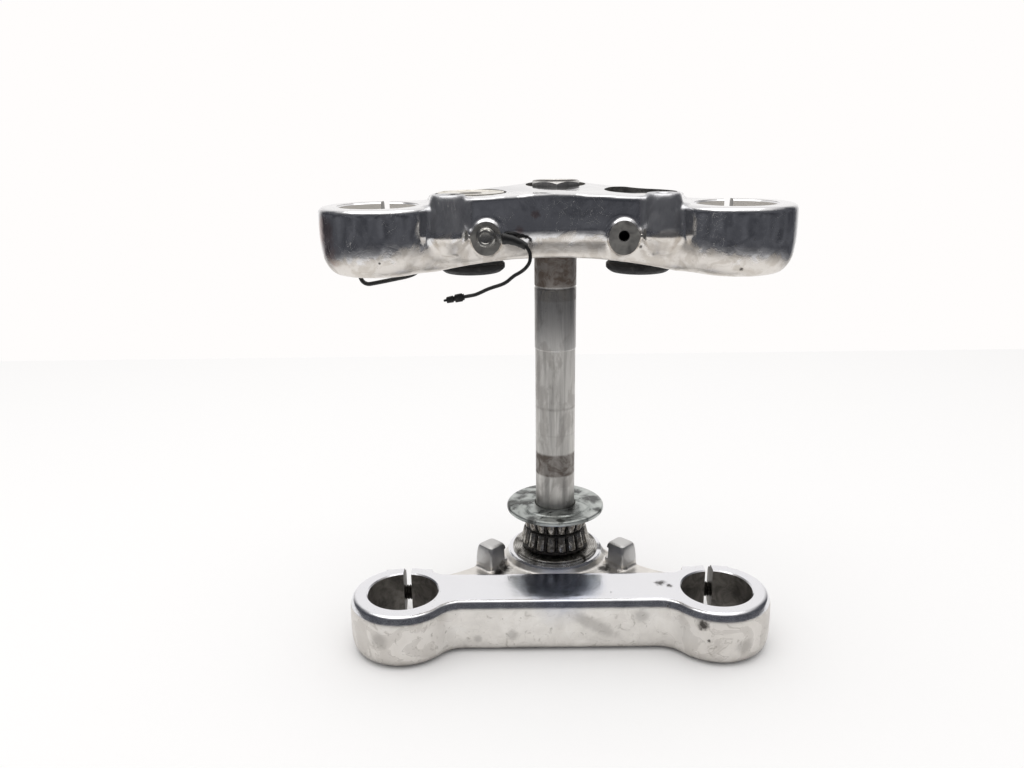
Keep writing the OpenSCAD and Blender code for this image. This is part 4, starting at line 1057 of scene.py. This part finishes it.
def pinch_bolts(name, bolt_z, turn):
    """Both bolts of a yoke, heads outwards."""
    lots = []
    for side in (1, -1):
        lying = Matrix.Rotation(radians(90 * side), 4, "Y")
        head = turned("head", [(0, 15), (6.7, 15), (7, 15.4), (7, 23.7), (6.2, 24.5), (0, 24.5)], 48, ease=0.2)
        carve(head, prism("socket", six_sided(key_reach), 19.5, 30))
        parts = [([v.co.copy() for v in head.data.vertices], [tuple(p.vertices) for p in head.data.polygons]),
                 thread(4.75, 0.75, 1.5, -16, 15)]
        bpy.data.objects.remove(head)
        points, faces = gathered(parts)
        lots.append(([(lying @ Vector(p)) + Vector((side * fork_at[0], pinch_y, bolt_z)) for p in points], faces))
    return put(piece(name, *gathered(lots), turn), oxide, crease=30)


oxide = stained_finish("black oxide steel, worn", (2.2, 5, 0.6), (0.4, 0.65, 0.42, 0.3), (
    (0.4, "#3a3836"), (0.6, "#5a5650"), (0.74, "#8a857d")), 0.9, grain=(0.5, 0.01))
pinch_bolts("lower pinch bolts", lower_pinch, False)
pinch_bolts("upper pinch bolts", upper_pinch, True)

# The riser bushes: moulded black rubber with a top flange, pressed in the yoke, round a steel sleeve.
# They hang a little out of the underside and have turned grey at the lips.
flange_z, hang = 258.0, 4.0
moulded = stained_finish("moulded natural rubber, black", (4, 5, 0.6, 0.5), (0.35, 0.65, 0.5, 0.78), (
    (0.4, "#151516"), (0.6, "#232324"), (0.75, "#3a3836")), 0.0, 0.15, (0.7, 0.05))
for side, word in ((-1, "left"), (1, "right")):
    place = (side * bush_at[0], bush_at[1], 0)
    foot = upper_z - hang
    put(turned("riser bush " + word, [
        (8.6, foot + 1.8), (14.2, foot + 1), (14.6, foot), (15.8, foot), (17.4, foot + 1.2), (18.4, foot + 2.2),
        (18.4, foot + 4.6), (17.2, foot + 5.4), (17.2, flange_z), (19.4, flange_z), (19.4, flange_z + 2.6),
        (18.6, flange_z + 3.2), (12, flange_z + 3.2), (11.6, flange_z + 2.9), (8.6, flange_z + 2.9)],
               112, place, 0.45, True), moulded, crease=50)
    put(turned("bush sleeve " + word, [
        (6.5, foot + 2.1), (6.9, foot + 1.8), (8.3, foot + 1.8), (8.6, foot + 2.1), (8.6, flange_z + 3.2),
        (7.1, flange_z + 3.2), (6.5, flange_z + 2.6)], 96, place, turn=True), ground)

# The cup washer: a pale plated pressing that lies on the left bush.
cup_z = flange_z + 3.2
pale_plate = stained_finish("pale plated sheet steel", (5, 5, 0.6, 0.6), (0.35, 0.65, 0.3, 0.45), (
    (0.36, "#e6e3dc"), (0.55, "#d6d2c8"), (0.7, "#a79f90")), 0.6, 0.06)
put(turned("cup washer", [
    (6.5, cup_z), (17.2, cup_z), (18.3, cup_z + 0.6), (18.6, cup_z + 1.4), (18.6, cup_z + 2.1), (17.7, cup_z + 2.1),
    (17.2, cup_z + 1.6), (6.5, cup_z + 1.6)], 128, (-bush_at[0], bush_at[1], 0), 0.35, True),
    pale_plate, ["cup_washer_left"])

# The ground bolt: a small plated flange bolt, dull grey, in the left front face over the lead's
# ring terminal.
face_y = -75.4


def on_face(out):
    """Places a piece on the left front face, its own Z pointing out of it."""
    return (Matrix.Rotation(yoke_turn, 4, "Z") @ Matrix.Translation((-face_at[0], face_y - out, face_high))
            @ Matrix.Rotation(radians(90), 4, "X"))


dulled = stained_finish("plated steel, dull grey", (1.6, 4, 0.6), (0.4, 0.65, 0.26, 0.4), (
    (0.4, "#b9b8b3"), (0.6, "#94928e"), (0.72, "#66635f")), 1.0, grain=(0.5, 0.015))
bolt = carve(prism("ground bolt", six_sided(key_reach), 0.9, 4.8),
             turned("dome", [(0, 0), (4.7, 0), (4.7, 4.1), (4.05, 4.8), (3.0, 4.8), (2.6, 4.3), (0, 4.2)], 64),
             "INTERSECT")
carve(bolt, turned("flange", [(0, 0), (4.9, 0), (4.9, 0.5), (3.4, 1.4), (0, 1.4)], 64, ease=0.15), "UNION")
carve(bolt, turned("shank", [(0, -10.9), (2.1, -10.9), (2.4, -10.4), (2.4, 0.5), (0, 0.5)], 40), "UNION")
bolt.data.transform(on_face(0.9))
put(bolt, dulled, crisp=0.12)

# The ring terminal: tinned sheet, drawn as its ring and tongue; the barrel crimped over the bare end of the lead is
# not drawn.
washer = turned("ring terminal", [(2.7, 0), (5.4, 0), (5.4, 0.9), (2.7, 0.9)], 64, ease=0.2)
tongue = prism("tongue", [(4.2, -2.2), (8.6, -2.2), (8.6, 2.2), (4.2, 2.2)], 0, 0.9)
tongue.data.transform(Matrix.Rotation(radians(-6), 4, "Z"))
carve(washer, tongue, "UNION")
washer.data.transform(on_face(0))
put(washer, dulled, crisp=0.15)

# The wire guide: a black coated wire bent by hand, both ends up in holes under the left ring.
guide_left, guide_right, guide_y = -fork_at[0] - 17, -fork_at[0] + 17, fork_at[1] + 20.4
bends = [(guide_left, 8), (guide_left, 3), (guide_left, -1), (guide_left + 0.6, -4.7), (guide_left + 2, -7.7),
         (guide_left + 4.7, -9.1), (guide_left + 8.3, -8.7), (guide_left + 14.7, -7.5), (guide_left + 21.7, -6.1),
         (guide_left + 27.6, -4.8), (guide_right - 2, -3), (guide_right - 0.3, -0.2),
         (guide_right, 3), (guide_right, 8)]
guide_line = [Vector(on_upper(*p)) for p in smooth_path([(x, guide_y, upper_z + z) for x, z in bends], 5)]
coated, shader, at = finish("black coated wire")
chip = between(cloud(at, 2, 5, 0.7), 0.6, 0.7)
feed(shader, Base_Color=coat(chip, "#171717", "#4a453e"), Roughness=0.38, Metallic=between(chip, 0, 1, 0, 0.6),
     Normal=bumps((cloud(at, 0.8), 0.03)))
put(tube("wire guide", guide_line, 1.2, 16), coated)
